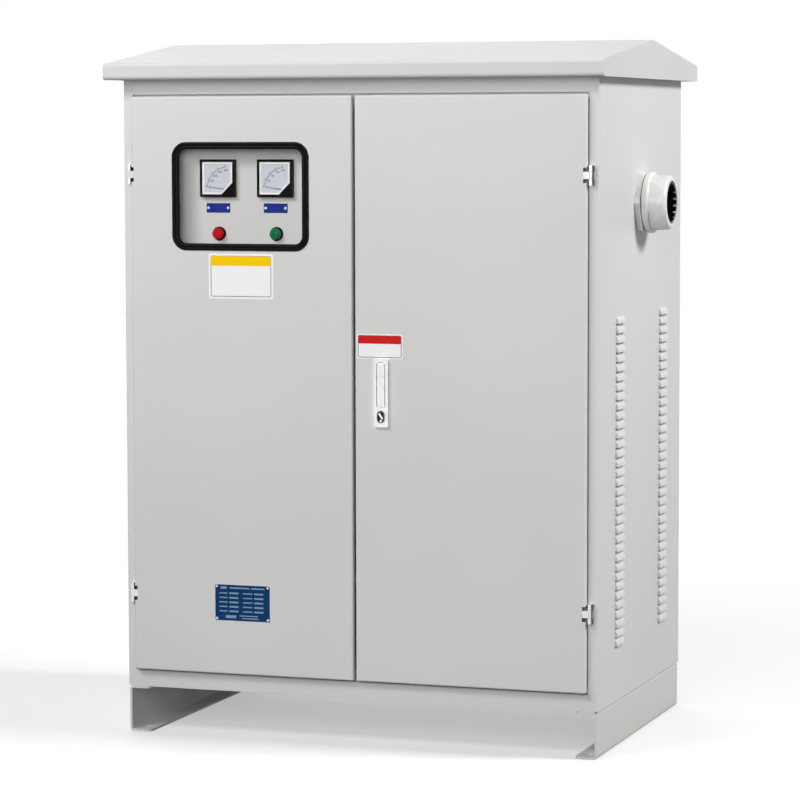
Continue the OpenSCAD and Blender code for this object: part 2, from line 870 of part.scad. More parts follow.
// Lever with a round top end, rolled over its pin so that it turns in the recess
module handle_lever() {
    color("silver") difference() {
        intersection() {
            upright(handle_face_y + lever_t, lever_t) lever_outline(lever_top_z, lever_w, lever_l);
            union() {
                translate([handle_x - lever_w, handle_face_y - cut, lever_top_z - lever_l - cut])
                    cube([2 * lever_w, lever_t + 2 * cut, lever_axis_z - lever_top_z + lever_l + cut]);
                bar_x(handle_x - lever_w, lever_axis_y, lever_axis_z, lever_t, 2 * lever_w);
            }
        }
        bar_x(handle_x - lever_w, lever_axis_y, lever_axis_z, lever_pin_d + 2 * pin_play, 2 * lever_w);
    }
}

module lock_barrel() {
    color("silver") bar_y(handle_x, handle_face_y, lock_z, lock_d, handle_t + lock_deep);
}

// Spindle behind the lever, and its tongue turned up out of the other door's way
module latch_tongue() {
    color("silver") {
        bar_y(handle_x, door_y, spindle_z, spindle_d, spindle_deep);
        translate([0, spindle_deep - tongue_t, 0]) bar_y(handle_x, door_y, spindle_z, tongue_w, tongue_t);
        translate([handle_x - tongue_w / 2, door_y + spindle_deep - tongue_t, spindle_z])
            cube([tongue_w, tongue_t, tongue_l]);
    }
}

// Places along the gland's axis, which runs out through the right side panel, from x
module gland_axis(x) {
    translate([x, 0, gland_z]) rotate([0, 90, 0]) children();
}

// Hexagonal bar on the gland's axis, a flat side at its top and its bottom
module gland_hexagon(x, w, length) {
    gland_axis(x) rotate(30) cylinder(d = w / cos(30), h = length, $fn = 6);
}

module gland_body() {
    color("whitesmoke") difference() {
        union() {
            gland_hexagon(side_x, gland_hex_w, gland_hex_t);
            gland_axis(gland_rear_x) cylinder(d = gland_neck_d, h = gland_neck_x - gland_rear_x);
        }
        gland_axis(gland_rear_x - cut) cylinder(d = gland_bore_d, h = gland_neck_x - gland_rear_x + 2 * cut);
    }
}

// Half section of the nut's dome, from inside the bead forwards
module nut_dome() {
    dome_r = gland_dome_d / 2;
    front_r = gland_front_d / 2;
    round_end = gland_nut_l - gland_nut_r;
    polygon([
        [0, gland_bead_l / 2], [dome_r, gland_bead_l / 2], [dome_r, gland_bead_l], [front_r, round_end],
        [front_r - gland_nut_r, gland_nut_l], [0, gland_nut_l]
    ]);
    translate([front_r - gland_nut_r, round_end]) circle(gland_nut_r);
}

// Half section of the bead around the nut's rear end
module nut_bead() {
    bead_w = (gland_bead_d - gland_neck_d) / 2;
    translate([gland_neck_d / 2, 0]) square([bead_w - gland_bead_r, gland_bead_l]);
    translate([gland_neck_d / 2, gland_bead_r]) square([bead_w, gland_bead_l - 2 * gland_bead_r]);
    for (end = [gland_bead_r, gland_bead_l - gland_bead_r])
        translate([gland_bead_d / 2 - gland_bead_r, end]) circle(gland_bead_r);
}

// Domed nut with six flats and a bead
module gland_nut() {
    color("whitesmoke") difference() {
        union() {
            intersection() {
                gland_axis(gland_nut_x) rotate_extrude() nut_dome();
                gland_hexagon(gland_nut_x, gland_nut_w, gland_nut_l);
            }
            gland_axis(gland_nut_x) rotate_extrude() nut_bead();
        }
        gland_axis(gland_nut_x - cut) cylinder(d = gland_mouth_d, h = gland_nut_l + 2 * cut);
        gland_axis(gland_nut_x - cut)
            cylinder(d = gland_neck_d + 2 * gland_play, h = gland_neck_x - gland_nut_x + gland_play + cut);
    }
}

module gland_seal() {
    seal_l = gland_neck_x - gland_foot_x;
    color("dimgray") difference() {
        gland_axis(gland_foot_x) cylinder(d = gland_bore_d - 2 * gland_play, h = seal_l);
        gland_axis(gland_foot_x - cut) cylinder(d = gland_clear_d, h = seal_l + 2 * cut);
    }
}

module gland_locknut() {
    color("whitesmoke") difference() {
        gland_hexagon(gland_rear_x, gland_locknut_w, gland_locknut_t);
        gland_axis(gland_rear_x - cut)
            cylinder(d = gland_neck_d + 2 * gland_play, h = gland_locknut_t + 2 * cut);
    }
}

// Three-limbed core of stacked sheets
module core() {
    color("dimgray") upright(core_d / 2, core_d) difference() {
        translate([-core_w / 2, core_z]) square([core_w, core_top_z - core_z]);
        for (side = [-1, 0])
            translate([side * limb_pitch + limb_w / 2, core_window_z])
                square([limb_pitch - limb_w, core_window_h]);
    }
}

// Cast winding around one limb, its end edges rounded
module coil(limb) {
    ring_w = (coil_d - coil_bore_d) / 2;
    translate([limb * limb_pitch, 0, coil_z]) rotate_extrude()
        translate([coil_bore_d / 2 + ring_w / 2, coil_h / 2]) rounded(ring_w, coil_h, coil_r);
}

module left_coil() {
    color("firebrick") coil(-1);
}

module middle_coil() {
    color("firebrick") coil(0);
}

module right_coil() {
    color("firebrick") coil(1);
}

// Insulating blocks that carry the coils on the lower clamps and hold them under the upper ones
module coil_blocks() {
    block_y = (coil_d + coil_bore_d) / 4;
    color("burlywood") for (limb = [-1, 0, 1], side = [-1, 1], z = [core_window_z, coil_z + coil_h])
        translate([limb * limb_pitch - block_w / 2, side * block_y - block_w / 2, z])
            cube([block_w, block_w, block_h]);
}

// Pair of clamping channels along a yoke, webs against the core, from z up
module clamps(z) {
    for (side = [0, 1]) mirror([0, side, 0]) lengthwise(-clamp_w / 2, clamp_w) translate([core_d / 2, z]) {
        square([clamp_t, clamp_h]);
        square([clamp_d, clamp_t]);
        translate([0, clamp_h - clamp_t]) square([clamp_d, clamp_t]);
    }
}

module bottom_clamps() {
    color("slategray") clamps(bottom_clamp_z);
}

module top_clamps() {
    color("slategray") clamps(top_clamp_z);
}

// Two channel rails under the outer limbs, open side down
module base_rails() {
    color("slategray") for (side = [-1, 1])
        translate([side * limb_pitch - rail_w / 2, -rail_l / 2, rail_z]) difference() {
            cube([rail_w, rail_l, rail_h]);
            translate([rail_t, -cut, -cut])
                cube([rail_w - 2 * rail_t, rail_l + 2 * cut, rail_h - rail_t + cut]);
        }
}

// Places of the terminals, a pair in front of each limb
module terminal_places() {
    for (limb = [-1, 0, 1], side = [-1, 1])
        translate([limb * stud_group + side * stud_pair / 2, board_y, board_z + board_h / 2]) children();
}

module terminal_board() {
    color("sienna") difference() {
        translate([-board_l / 2, board_y, board_z]) cube([board_l, board_t, board_h]);
        terminal_places() bar_y(0, -cut, 0, stud_d, board_t + 2 * cut);
    }
}

module terminal_studs() {
    color("goldenrod") terminal_places() {
        bar_y(0, -stud_l, 0, stud_d, stud_l + board_t);
        bar_y(0, -stud_collar_t, 0, stud_collar_d, stud_collar_t);
    }
}

left_side_panel();
right_side_panel();
rear_panel();
left_front_post();
right_front_post();
header_rail();
sill_rail();
floor_panel();
top_panel();
left_foot();
right_foot();
roof_canopy();
left_gable();
right_gable();
left_door();
right_door();
left_door_ribs();
right_door_ribs();
left_post_hinges();
right_post_hinges();
left_door_hinges();
right_door_hinges();
window_gasket();
window_pane();
instrument_tray();
left_meter();
right_meter();
red_lamp();
green_lamp();
handle_plate();
handle_lever();
lock_barrel();
latch_tongue();
gland_body();
gland_nut();
gland_seal();
gland_locknut();
core();
left_coil();
middle_coil();
right_coil();
coil_blocks();
bottom_clamps();
top_clamps();
base_rails();
terminal_board();
terminal_studs();
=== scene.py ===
"""Looks of the transformer cabinet: finishes, gasket, dials, lamps, plates, fasteners, light and camera."""
import math

import bmesh
import bpy
from mathutils import Matrix, Vector


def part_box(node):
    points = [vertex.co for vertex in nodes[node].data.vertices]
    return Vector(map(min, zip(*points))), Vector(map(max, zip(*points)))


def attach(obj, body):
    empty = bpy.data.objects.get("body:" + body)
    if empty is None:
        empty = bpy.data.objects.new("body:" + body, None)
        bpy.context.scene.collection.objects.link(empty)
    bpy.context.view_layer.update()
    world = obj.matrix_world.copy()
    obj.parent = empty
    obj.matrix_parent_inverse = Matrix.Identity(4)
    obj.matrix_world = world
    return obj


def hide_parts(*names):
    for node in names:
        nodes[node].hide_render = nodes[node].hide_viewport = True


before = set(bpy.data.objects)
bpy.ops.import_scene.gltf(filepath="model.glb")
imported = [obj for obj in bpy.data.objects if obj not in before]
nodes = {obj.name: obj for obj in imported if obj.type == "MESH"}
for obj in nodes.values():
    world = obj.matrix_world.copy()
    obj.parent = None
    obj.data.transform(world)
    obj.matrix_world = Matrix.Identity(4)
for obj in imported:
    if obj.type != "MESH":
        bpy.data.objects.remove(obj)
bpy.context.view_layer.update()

MM = 0.001
OUT = Vector((0, -1, 0))
RIGHT = Vector((1, 0, 0))
UP = Vector((0, 0, 1))
WHITE = (1, 1, 1, 1)

# A Mix node has sockets for every kind of value; these are the ones for colours
MIX_FACTOR, MIX_FIRST, MIX_SECOND, MIX_RESULT = 0, 6, 7, 2


class Strand:
    """A shader socket that takes part in Python sums, each of which adds its Math node."""

    def __init__(self, sheet, socket):
        self.sheet = sheet
        self.socket = socket

    def math(self, operation, *values):
        return self.sheet.node("ShaderNodeMath", {"operation": operation}, values)

    def __add__(self, other):
        return self.math("ADD", self, other)

    def __radd__(self, other):
        return self.math("ADD", other, self)

    def __sub__(self, other):
        return self.math("SUBTRACT", self, other)

    def __rsub__(self, other):
        return self.math("SUBTRACT", other, self)

    def __mul__(self, other):
        return self.math("MULTIPLY", self, other)

    def __rmul__(self, other):
        return self.math("MULTIPLY", other, self)

    def most(self, other):
        return self.math("MAXIMUM", self, other)

    def between(self, low, high):
        """Zero at low, one at high, smooth between them and clamped outside."""
        sockets = {"Value": self, "From Min": low, "From Max": high}
        return self.sheet.node("ShaderNodeMapRange", {"interpolation_type": "SMOOTHSTEP"}, sockets)


class Sheet:
    """A node tree: adds nodes and links what feeds them."""

    def __init__(self, tree):
        self.tree = tree

    def node(self, kind, settings=(), sockets=(), output=0):
        """Output of a new node: its settings go in first, then its sockets, by name or in order."""
        made = self.tree.nodes.new(kind)
        for name, value in dict(settings).items():
            setattr(made, name, value)
        pairs = sockets.items() if isinstance(sockets, dict) else enumerate(sockets)
        for key, value in pairs:
            self.feed(made.inputs[key], value)
        return Strand(self, made.outputs[output])

    def feed(self, socket, value):
        if isinstance(value, Strand):
            self.tree.links.new(value.socket, socket)
        else:
            socket.default_value = value

    def place(self):
        return self.node("ShaderNodeTexCoord", output="Object")

    def height(self):
        return self.node("ShaderNodeSeparateXYZ", sockets=[self.place()], output="Z")

    def noise(self, scale, detail=2, place=None):
        sockets = {"Vector": place or self.place(), "Scale": scale, "Detail": detail}
        return self.node("ShaderNodeTexNoise", {}, sockets)

    def stretched(self, scales):
        """The object's own coordinates, scaled differently along the three axes."""
        return self.node("ShaderNodeVectorMath", {"operation": "MULTIPLY"}, [self.place(), scales])

    def mix(self, factor, first, second):
        """Colour between two colours."""
        colours = [c if isinstance(c, Strand) else rgba(c) for c in (first, second)]
        sockets = {MIX_FACTOR: factor, MIX_FIRST: colours[0], MIX_SECOND: colours[1]}
        settings = {"data_type": "RGBA", "clamp_factor": True}
        return self.node("ShaderNodeMix", settings, sockets, MIX_RESULT)

    def bump(self, height, depth):
        return self.node("ShaderNodeBump", {}, {"Height": height, "Distance": depth})


class Finish(Sheet):
    """A material, with what its shader takes all over given by name."""

    SOCKETS = {"colour": "Base Color", "coat": "Coat Weight", "coat_roughness": "Coat Roughness",
               "specular": "Specular IOR Level", "ior": "IOR"}

    def __init__(self, name, **constants):
        self.material = bpy.data.materials.new(name)
        self.material.use_nodes = True
        super().__init__(self.material.node_tree)
        self.shader = self.tree.nodes["Principled BSDF"]
        for key, value in constants.items():
            self.set(key, value)

    def set(self, key, value):
        socket = self.shader.inputs[self.SOCKETS.get(key, key.capitalize())]
        if key == "colour" and not isinstance(value, Strand):
            value = rgba(value)
        self.feed(socket, value)


def rgba(colour):
    """Linear colour with alpha from three display values of 0 to 255."""
    linear = [v / 255 / 12.92 if v <= 10 else ((v / 255 + 0.055) / 1.055) ** 2.4 for v in colour]
    return (*linear, 1)


def shade(colour, share):
    return tuple(min(255, v * share) for v in colour)


def middle(node):
    low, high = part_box(node)
    return (low + high) / 2


def front_spot(node, y):
    """Middle of a node as seen from the front, at depth y."""
    spot = middle(node)
    spot.y = y
    return spot


# Finishes: colours are display values, noise scales count features per metre, bump depths are in metres


def powder_coat(name, colour, gloss=0.42, peel=0.00006, shine=0.28):
    """Sprayed and baked paint: fine orange peel, a slight drift of tone, and faint wiped patches."""
    finish = Finish(name, specular=shine)
    drift = finish.noise(1.3, 3)
    speck = finish.noise(900, 1)
    tone = finish.mix(drift.between(0.3, 0.7), shade(colour, 0.985), shade(colour, 1.012))
    finish.set("colour", finish.mix(speck.between(0.62, 0.8) * 0.12, tone, shade(colour, 0.9)))
    wiped = finish.noise(5, 4)
    finish.set("roughness", gloss + 0.1 * (wiped - 0.5) + 0.06 * (speck - 0.5))
    skin = finish.noise(330, 1) + 0.35 * finish.noise(1100, 1)
    finish.set("normal", finish.bump(skin, peel))
    return finish.material


def foot_paint(name, colour):
    """The same paint with a trace of dust towards the ground, and a few scuffs."""
    finish = Finish(name, specular=0.28)
    grime = finish.noise(22, 5)
    low = 1 - finish.height().between(0.0, 0.06)
    dust = (low * grime.between(0.4, 0.8)) * 0.2
    scuff = finish.noise(60, 3, finish.stretched((0.3, 0.3, 1.5))).between(0.72, 0.78) * low
    dusty = finish.mix(dust, colour, (186, 181, 171))
    finish.set("colour", finish.mix(scuff * 0.25, dusty, (140, 138, 133)))
    finish.set("roughness", 0.45 + 0.35 * dust)
    finish.set("normal", finish.bump(finish.noise(330, 1), 0.00007))
    return finish.material


def galvanised(name):
    """Zinc-coated sheet with its flowered spangle."""
    finish = Finish(name, metallic=0.9)
    flower = finish.node("ShaderNodeTexVoronoi", {"feature": "F1"}, {"Vector": finish.place(), "Scale": 55.0},
                         output="Color")
    grey = finish.node("ShaderNodeSeparateColor", sockets=[flower])
    cloud = finish.noise(9, 4)
    finish.set("colour", finish.mix(grey * 0.6 + cloud * 0.4, (138, 142, 144), (188, 191, 192)))
    finish.set("roughness", 0.34 + 0.22 * grey)
    finish.set("normal", finish.bump(grey, 0.00004))
    return finish.material


def bright_metal(name, colour, roughness, brushed=0.00002):
    """Plated or polished metal with fine polishing lines and handling marks."""
    finish = Finish(name, metallic=1.0)
    lines = finish.noise(260, 2, finish.stretched((6, 6, 0.5)))
    marks = finish.noise(40, 4)
    finish.set("colour", finish.mix(marks, shade(colour, 0.92), colour))
    finish.set("roughness", roughness + 0.12 * (marks - 0.5) + 0.05 * (lines - 0.5))
    finish.set("normal", finish.bump(lines, brushed))
    return finish.material


def polished_hinge(name):
    """Chrome with painted shade on the barrel's sides, where it faces sideways, and rougher there."""
    finish = Finish(name, metallic=1.0)
    facing = finish.node("ShaderNodeTexCoord", output="Normal")
    across = finish.node("ShaderNodeSeparateXYZ", sockets=[facing], output="X")
    marks = finish.noise(90, 4)
    # painted shade: the colour darkens where the surface faces ±X, broken up by random marks
    painted_side_shade = (across * across + 0.3 * (marks - 0.5)).between(0.25, 0.75)
    finish.set("colour", finish.mix(painted_side_shade, (222, 221, 219), (84, 83, 82)))
    finish.set("roughness", 0.14 + 0.2 * painted_side_shade + 0.08 * (marks - 0.5))
    finish.set("normal", finish.bump(finish.noise(260, 2, finish.stretched((6, 6, 0.5))), 0.00001))
    return finish.material


def rubber(name, colour=(7, 7, 8), roughness=0.32):
    """Extruded rubber with a dry bloom in patches."""
    finish = Finish(name, specular=0.07)
    bloom = finish.noise(30, 4).between(0.45, 0.8)
    finish.set("colour", finish.mix(bloom * 0.3, colour, (28, 28, 29)))
    finish.set("roughness", roughness + 0.2 * bloom)
    finish.set("normal", finish.bump(finish.noise(1400, 2), 0.00003))
    return finish.material


def clear_pane(name):
    """Acrylic sheet: clear, with a faint film of dust that catches the light."""
    finish = Finish(name, colour=(236, 240, 240), metallic=0.3, roughness=0.05)
    film = finish.noise(14, 4).between(0.4, 0.8)
    finish.set("alpha", 0.002 + 0.007 * film)
    return finish.material


def moulded(name, colour, roughness, grain=0.00002, gloss=0.5):
    """Moulded plastic with a fine spark-eroded grain."""
    finish = Finish(name, specular=gloss)
    flow = finish.noise(18, 3)
    grit = finish.noise(1900, 2)
    finish.set("colour", finish.mix(flow.between(0.35, 0.65), shade(colour, 0.965), shade(colour, 1.02)))
    finish.set("roughness", roughness + 0.12 * (flow - 0.5) + 0.08 * (grit - 0.5))
    finish.set("normal", finish.bump(grit, grain))
    return finish.material


def lens(name, node, deep, painted_lit_colour):
    """Coloured lamp lens: painted lighter towards its rim, standing for the light its ribs gather."""
    finish = Finish(name, roughness=0.2, coat_roughness=0.05, ior=1.49, specular=0.06)
    low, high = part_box(node)
    radius = (high.x - low.x) / 2
    offset = finish.node("ShaderNodeVectorMath", {"operation": "SUBTRACT"}, [finish.place(), middle(node)])
    flat = finish.node("ShaderNodeVectorMath", {"operation": "MULTIPLY"}, [offset, (1, 0, 1)])
    away = finish.node("ShaderNodeVectorMath", {"operation": "LENGTH"}, [flat], output="Value")
    # painted light: the colour turns to its lit copy from the middle out to the rim
    rim = away.between(0.35 * radius, 0.9 * radius)
    mottled = finish.noise(240, 2)
    finish.set("colour", finish.mix(0.7 * rim + 0.3 * mottled, deep, painted_lit_colour))
    finish.set("coat", 0.02 + 0.1 * mottled)
    return finish.material


def card(name, colour, roughness=0.55):
    """Printed card or film with a faint paper grain."""
    finish = Finish(name, specular=0.12)
    grain = finish.noise(700, 3)
    finish.set("colour", finish.mix(grain, shade(colour, 0.965), shade(colour, 1.015)))
    finish.set("roughness", roughness + 0.12 * (grain - 0.5))
    finish.set("normal", finish.bump(grain, 0.00001))
    return finish.material


def enamel_plate(name, colour):
    """Anodised plate: brushed lengthwise under a coloured film."""
    finish = Finish(name, specular=0.14, metallic=0.1)
    lines = finish.noise(150, 3, finish.stretched((0.6, 6, 9)))
    cloud = finish.noise(25, 3)
    finish.set("colour", finish.mix(0.6 * lines + 0.4 * cloud, shade(colour, 0.82), shade(colour, 1.18)))
    finish.set("roughness", 0.32 + 0.16 * lines)
    finish.set("normal", finish.bump(lines, 0.00002))
    return finish.material


def stacked_steel(name):
    """Edges of the core's stacked sheets, with their varnish."""
    finish = Finish(name, specular=0.4, metallic=0.35)
    sheets = finish.noise(420, 1, finish.stretched((0.02, 6, 0.02)))
    varnish = finish.noise(7, 4)
    finish.set("colour", finish.mix(sheets.between(0.3, 0.7), (58, 60, 64), (94, 96, 99)))
    finish.set("roughness", 0.36 + 0.3 * varnish)
    finish.set("normal", finish.bump(sheets, 0.0002))
    return finish.material


def cast_resin(name, colour):
    """Cast winding: filled resin, glossy, with flow marks and the turns of the winding faint beneath."""
    finish = Finish(name, specular=0.5, coat_roughness=0.15)
    flow = finish.noise(11, 5)
    turns = finish.noise(120, 1, finish.stretched((0.02, 0.02, 1)))
    tone = finish.mix(flow.between(0.3, 0.75), shade(colour, 0.86), shade(colour, 1.1))
    finish.set("colour", finish.mix(turns.between(0.55, 0.7) * 0.25, tone, shade(colour, 0.7)))
    finish.set("roughness", 0.27 + 0.25 * flow)
    finish.set("coat", 0.3 * flow)
    finish.set("normal", finish.bump(turns + 0.5 * flow, 0.0006))
    return finish.material


def fibre_board(name, colour, roughness=0.6):
    """Pressed board or laminate, with long fibres."""
    finish = Finish(name, specular=0.4)
    fibres = finish.noise(300, 4, finish.stretched((0.15, 1, 1)))
    patches = finish.noise(16, 3)
    tone = finish.mix(fibres, shade(colour, 0.84), shade(colour, 1.1))
    finish.set("colour", finish.mix(patches.between(0.5, 0.75) * 0.3, tone, shade(colour, 0.8)))
    finish.set("roughness", roughness + 0.2 * (fibres - 0.5))
    finish.set("normal", finish.bump(fibres, 0.0001))
    return finish.material


def closed_foam(name):
    """Closed-cell sealing strip with its open cut cells."""
    finish = Finish(name, roughness=0.92, specular=0.2)
    cells = finish.node("ShaderNodeTexVoronoi", {"feature": "F1"}, {"Vector": finish.place(), "Scale": 900.0})
    finish.set("colour", finish.mix(cells, (26, 26, 27), (52, 52, 53)))
    finish.set("normal", finish.bump(cells, 0.0003))
    return finish.material


cabinet_paint = powder_coat("cabinet_paint", (214, 214, 213))
inner_paint = powder_coat("inner_paint", (208, 208, 207), gloss=0.5)
canopy_paint = powder_coat("canopy_paint", (212, 212, 211), gloss=0.62, shine=0.12)
base_paint = foot_paint("base_paint", (212, 212, 209))
tray_paint = powder_coat("tray_paint", (206, 206, 204), gloss=0.5)
clamp_paint = powder_coat("clamp_paint", (84, 92, 98), gloss=0.4, peel=0.0001)
floor_zinc = galvanised("floor_zinc")
hinge_chrome = polished_hinge("hinge_chrome")
handle_zinc = bright_metal("handle_zinc", (226, 226, 224), 0.3)
lock_steel = bright_metal("lock_steel", (120, 120, 118), 0.3)
bolt_zinc = bright_metal("bolt_zinc", (196, 194, 184), 0.34)
stud_brass = bright_metal("stud_brass", (206, 168, 92), 0.26)
black_rubber = rubber("black_rubber")
gland_rubber = rubber("gland_rubber", (10, 10, 11), 0.5)
window_acrylic = clear_pane("window_acrylic")
meter_black = moulded("meter_black", (5, 5, 6), 0.3, gloss=0.04)
claw_black = moulded("claw_black", (12, 12, 13), 0.25, gloss=0.2)
grey_nylon = moulded("grey_nylon", (224, 225, 222), 0.34, grain=0.00003)
white_plastic = moulded("white_plastic", (238, 238, 236), 0.35)
red_lens = lens("red_lens", "red_lamp", (164, 0, 6), (240, 8, 18))
green_lens = lens("green_lens", "green_lamp", (0, 86, 50), (0, 160, 98))
dial_card = card("dial_card", (203, 207, 216))
dial_ink = card("dial_ink", (24, 24, 28), 0.5)
white_film = card("white_film", (246, 246, 248), 0.4)
yellow_film = card("yellow_film", (252, 206, 4), 0.4)
red_film = card("red_film", (206, 28, 26), 0.4)
grey_film = card("grey_film", (124, 125, 132), 0.4)
label_blue = enamel_plate("label_blue", (14, 32, 124))
plate_blue = enamel_plate("plate_blue", (3, 48, 94))
plate_line = card("plate_line", (128, 160, 184), 0.4)
core_steel = stacked_steel("core_steel")
coil_resin = cast_resin("coil_resin", (140, 58, 44))
press_board = fibre_board("press_board", (190, 156, 108))
terminal_laminate = fibre_board("terminal_laminate", (128, 78, 50), 0.35)
seal_foam = closed_foam("seal_foam")


# CAD nodes: a finish for each, and softened edges where the real piece has them

CAD_FINISHES = {
    cabinet_paint: ["left_side_panel", "right_side_panel", "rear_panel", "left_front_post",
                    "right_front_post", "header_rail", "sill_rail", "left_door", "right_door"],
    inner_paint: ["top_panel", "left_door_ribs", "right_door_ribs"],
    canopy_paint: ["roof_canopy", "left_gable", "right_gable"],
    base_paint: ["left_foot", "right_foot"],
    floor_zinc: ["floor_panel"],
    hinge_chrome: ["left_post_hinges", "right_post_hinges", "left_door_hinges", "right_door_hinges"],
    black_rubber: ["window_gasket"],
    gland_rubber: ["gland_seal"],
    window_acrylic: ["window_pane"],
    tray_paint: ["instrument_tray"],
    meter_black: ["left_meter", "right_meter"],
    red_lens: ["red_lamp"],
    green_lens: ["green_lamp"],
    handle_zinc: ["handle_plate", "handle_lever"],
    lock_steel: ["lock_barrel", "latch_tongue"],
    grey_nylon: ["gland_body", "gland_nut", "gland_locknut"],
    core_steel: ["core"],
    coil_resin: ["left_coil", "middle_coil", "right_coil"],
    press_board: ["coil_blocks"],
    clamp_paint: ["bottom_clamps", "top_clamps", "base_rails"],
    terminal_laminate: ["terminal_board"],
    stud_brass: ["terminal_studs"],
}
for material, names in CAD_FINISHES.items():
    for name in names:
        nodes[name].data.materials.clear()
        nodes[name].data.materials.append(material)

WELD_REACH = 0.01 * MM
EDGE_ANGLE, SMOOTH_ANGLE = math.radians(40), math.radians(35)
EDGE_STEPS = 2

# Nodes by the width of their softened edges in millimetres
EDGES = {
    0.4: ["left_front_post", "right_front_post", "header_rail", "sill_rail", "instrument_tray",
          "left_door_ribs", "right_door_ribs"],
    0.6: ["left_gable", "right_gable", "left_post_hinges", "right_post_hinges", "left_door_hinges",
          "right_door_hinges", "lock_barrel", "latch_tongue", "core", "terminal_studs", "handle_lever"],
    1.0: ["left_foot", "right_foot", "left_meter", "right_meter", "terminal_board", "handle_plate"],
    1.6: ["gland_body", "gland_locknut", "bottom_clamps", "top_clamps", "base_rails", "coil_blocks"],
}


def soften(thing, width):
    """Rounds the sharp edges, by a width in millimetres, and evens out the shading."""
    weld = thing.modifiers.new("weld", "WELD")
    weld.merge_threshold = WELD_REACH
    edge = thing.modifiers.new("edge", "BEVEL")
    edge.limit_method = "ANGLE"
    edge.angle_limit = EDGE_ANGLE
    edge.width = width * MM
    edge.segments = EDGE_STEPS
    edge.use_clamp_overlap = True
    even = thing.modifiers.new("even", "WEIGHTED_NORMAL")
    even.keep_sharp = True


for width, names in EDGES.items():
    for name in names:
        soften(nodes[name], width)


# Mesh building


def piece(name, build, material, body, stands_for=(), edge=0.0):
    """A new piece, built by a function that fills a mesh in the shared frame, with edges in millimetres."""
    shape = bmesh.new()
    build(shape)
    bmesh.ops.recalc_face_normals(shape, faces=shape.faces)
    mesh = bpy.data.meshes.new(name)
    shape.to_mesh(mesh)
    shape.free()
    thing = bpy.data.objects.new(name, mesh)
    bpy.context.scene.collection.objects.link(thing)
    mesh.materials.append(material)
    mesh.shade_smooth()
    if edge:
        soften(thing, edge)
    else:
        mesh.set_sharp_from_angle(angle=SMOOTH_ANGLE)
    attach(thing, body)
    if stands_for:
        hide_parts(*stands_for)


def settle(corners, place, out):
    """Moves new corners, built about the origin with their face towards +Z, to a place that faces out."""
    across = RIGHT if abs(out.x) < 0.5 else Vector((0, 1, 0))
    up = out.cross(across)
    turn = Matrix((across, up, out)).transposed()
    for corner in corners:
        corner.co = turn @ corner.co + place


def add_prism(shape, outline, low, high):
    """Outline in X and Y, thick from low to high along Z."""
    rings = [[shape.verts.new((x, y, z)) for x, y in outline] for z in (low, high)]
    count = len(outline)
    for i in range(count):
        j = (i + 1) % count
        shape.faces.new((rings[0][i], rings[0][j], rings[1][j], rings[1][i]))
    shape.faces.new(rings[0][::-1])
    shape.faces.new(rings[1])
    return rings[0] + rings[1]


def add_frame(shape, outer, inner, low, high):
    """Ring between two outlines of as many points, thick from low to high along Z."""
    rings = []
    for outline in (outer, inner):
        for z in (low, high):
            rings.append([shape.verts.new((x, y, z)) for x, y in outline])
    count = len(outer)
    for a, b in ((0, 1), (1, 3), (3, 2), (2, 0)):
        for i in range(count):
            j = (i + 1) % count
            shape.faces.new((rings[a][i], rings[a][j], rings[b][j], rings[b][i]))
    return [corner for ring in rings for corner in ring]


def add_lathe(shape, profile, steps=48, closed=False):
    """Profile of radius and height turned about Z, its ends closed on the axis unless it is a closed ring."""
    rings = []
    for radius, height in profile:
        if radius < 1e-9:
            rings.append([shape.verts.new((0, 0, height))])
            continue
        angles = (2 * math.pi * i / steps for i in range(steps))
        rings.append([shape.verts.new((radius * math.cos(a), radius * math.sin(a), height)) for a in angles])
    pairs = list(zip(rings, rings[1:]))
    if closed:
        pairs.append((rings[-1], rings[0]))
    for low, high in pairs:
        for i in range(steps):
            j = (i + 1) % steps
            if len(low) == 1:
                shape.faces.new((low[0], high[j], high[i]))
            elif len(high) == 1:
                shape.faces.new((low[i], low[j], high[0]))
            else:
                shape.faces.new((low[i], low[j], high[j], high[i]))
    return [corner for ring in rings for corner in ring]


def rounded_path(w, h, r, steps=12):
    """Points and outward directions around a rounded rectangle about the origin."""
    path = []
    for turn, (sx, sy) in enumerate(((1, 1), (-1, 1), (-1, -1), (1, -1))):
        for i in range(steps + 1):
            a = math.pi / 2 * (turn + i / steps)
            away = Vector((math.cos(a), math.sin(a)))
            path.append((Vector((sx * (w / 2 - r), sy * (h / 2 - r))) + away * r, away))
    return path


def rounded_outline(w, h, r, steps=6):
    return [tuple(point) for point, away in rounded_path(w, h, r, steps)]


def add_sweep(shape, path, section):
    """Closed section of inset and height, carried around a closed path in X and Y."""
    rings = []
    for point, away in path:
        ring = []
        for inset, height in section:
            x, y = point - away * inset
            ring.append(shape.verts.new((x, y, height)))
        rings.append(ring)
    count = len(section)
    for ring, after in zip(rings, rings[1:] + rings[:1]):
        for i in range(count):
            j = (i + 1) % count
            shape.faces.new((ring[i], ring[j], after[j], after[i]))
    return [corner for ring in rings for corner in ring]


def add_box(shape, low, high):
    """Box between two corners."""
    outline = [(low[0], low[1]), (high[0], low[1]), (high[0], high[1]), (low[0], high[1])]
    return add_prism(shape, outline, low[2], high[2])


def hexagon(w):
    corner = w / 2 / math.cos(math.pi / 6)
    return [(corner * math.cos(math.pi / 3 * i), corner * math.sin(math.pi / 3 * i)) for i in range(6)]


def add_bolt(shape, place, out, d):
    """Washer, hexagon nut and the end of its bolt, standing on a face."""
    washer, nut, end = 0.18 * d, 0.9 * d, 0.35 * d
    corners = add_lathe(shape, [(0, 0), (1.05 * d, 0), (1.05 * d, washer), (0, washer)], 32)
    corners += add_prism(shape, hexagon(1.6 * d), washer, washer + nut)
    tip = washer + nut + end
    thread = [(0, washer), (d / 2, washer), (d / 2, tip - d / 8), (d / 2.6, tip), (0, tip)]
    corners += add_lathe(shape, thread, 24)
    settle(corners, place, out)


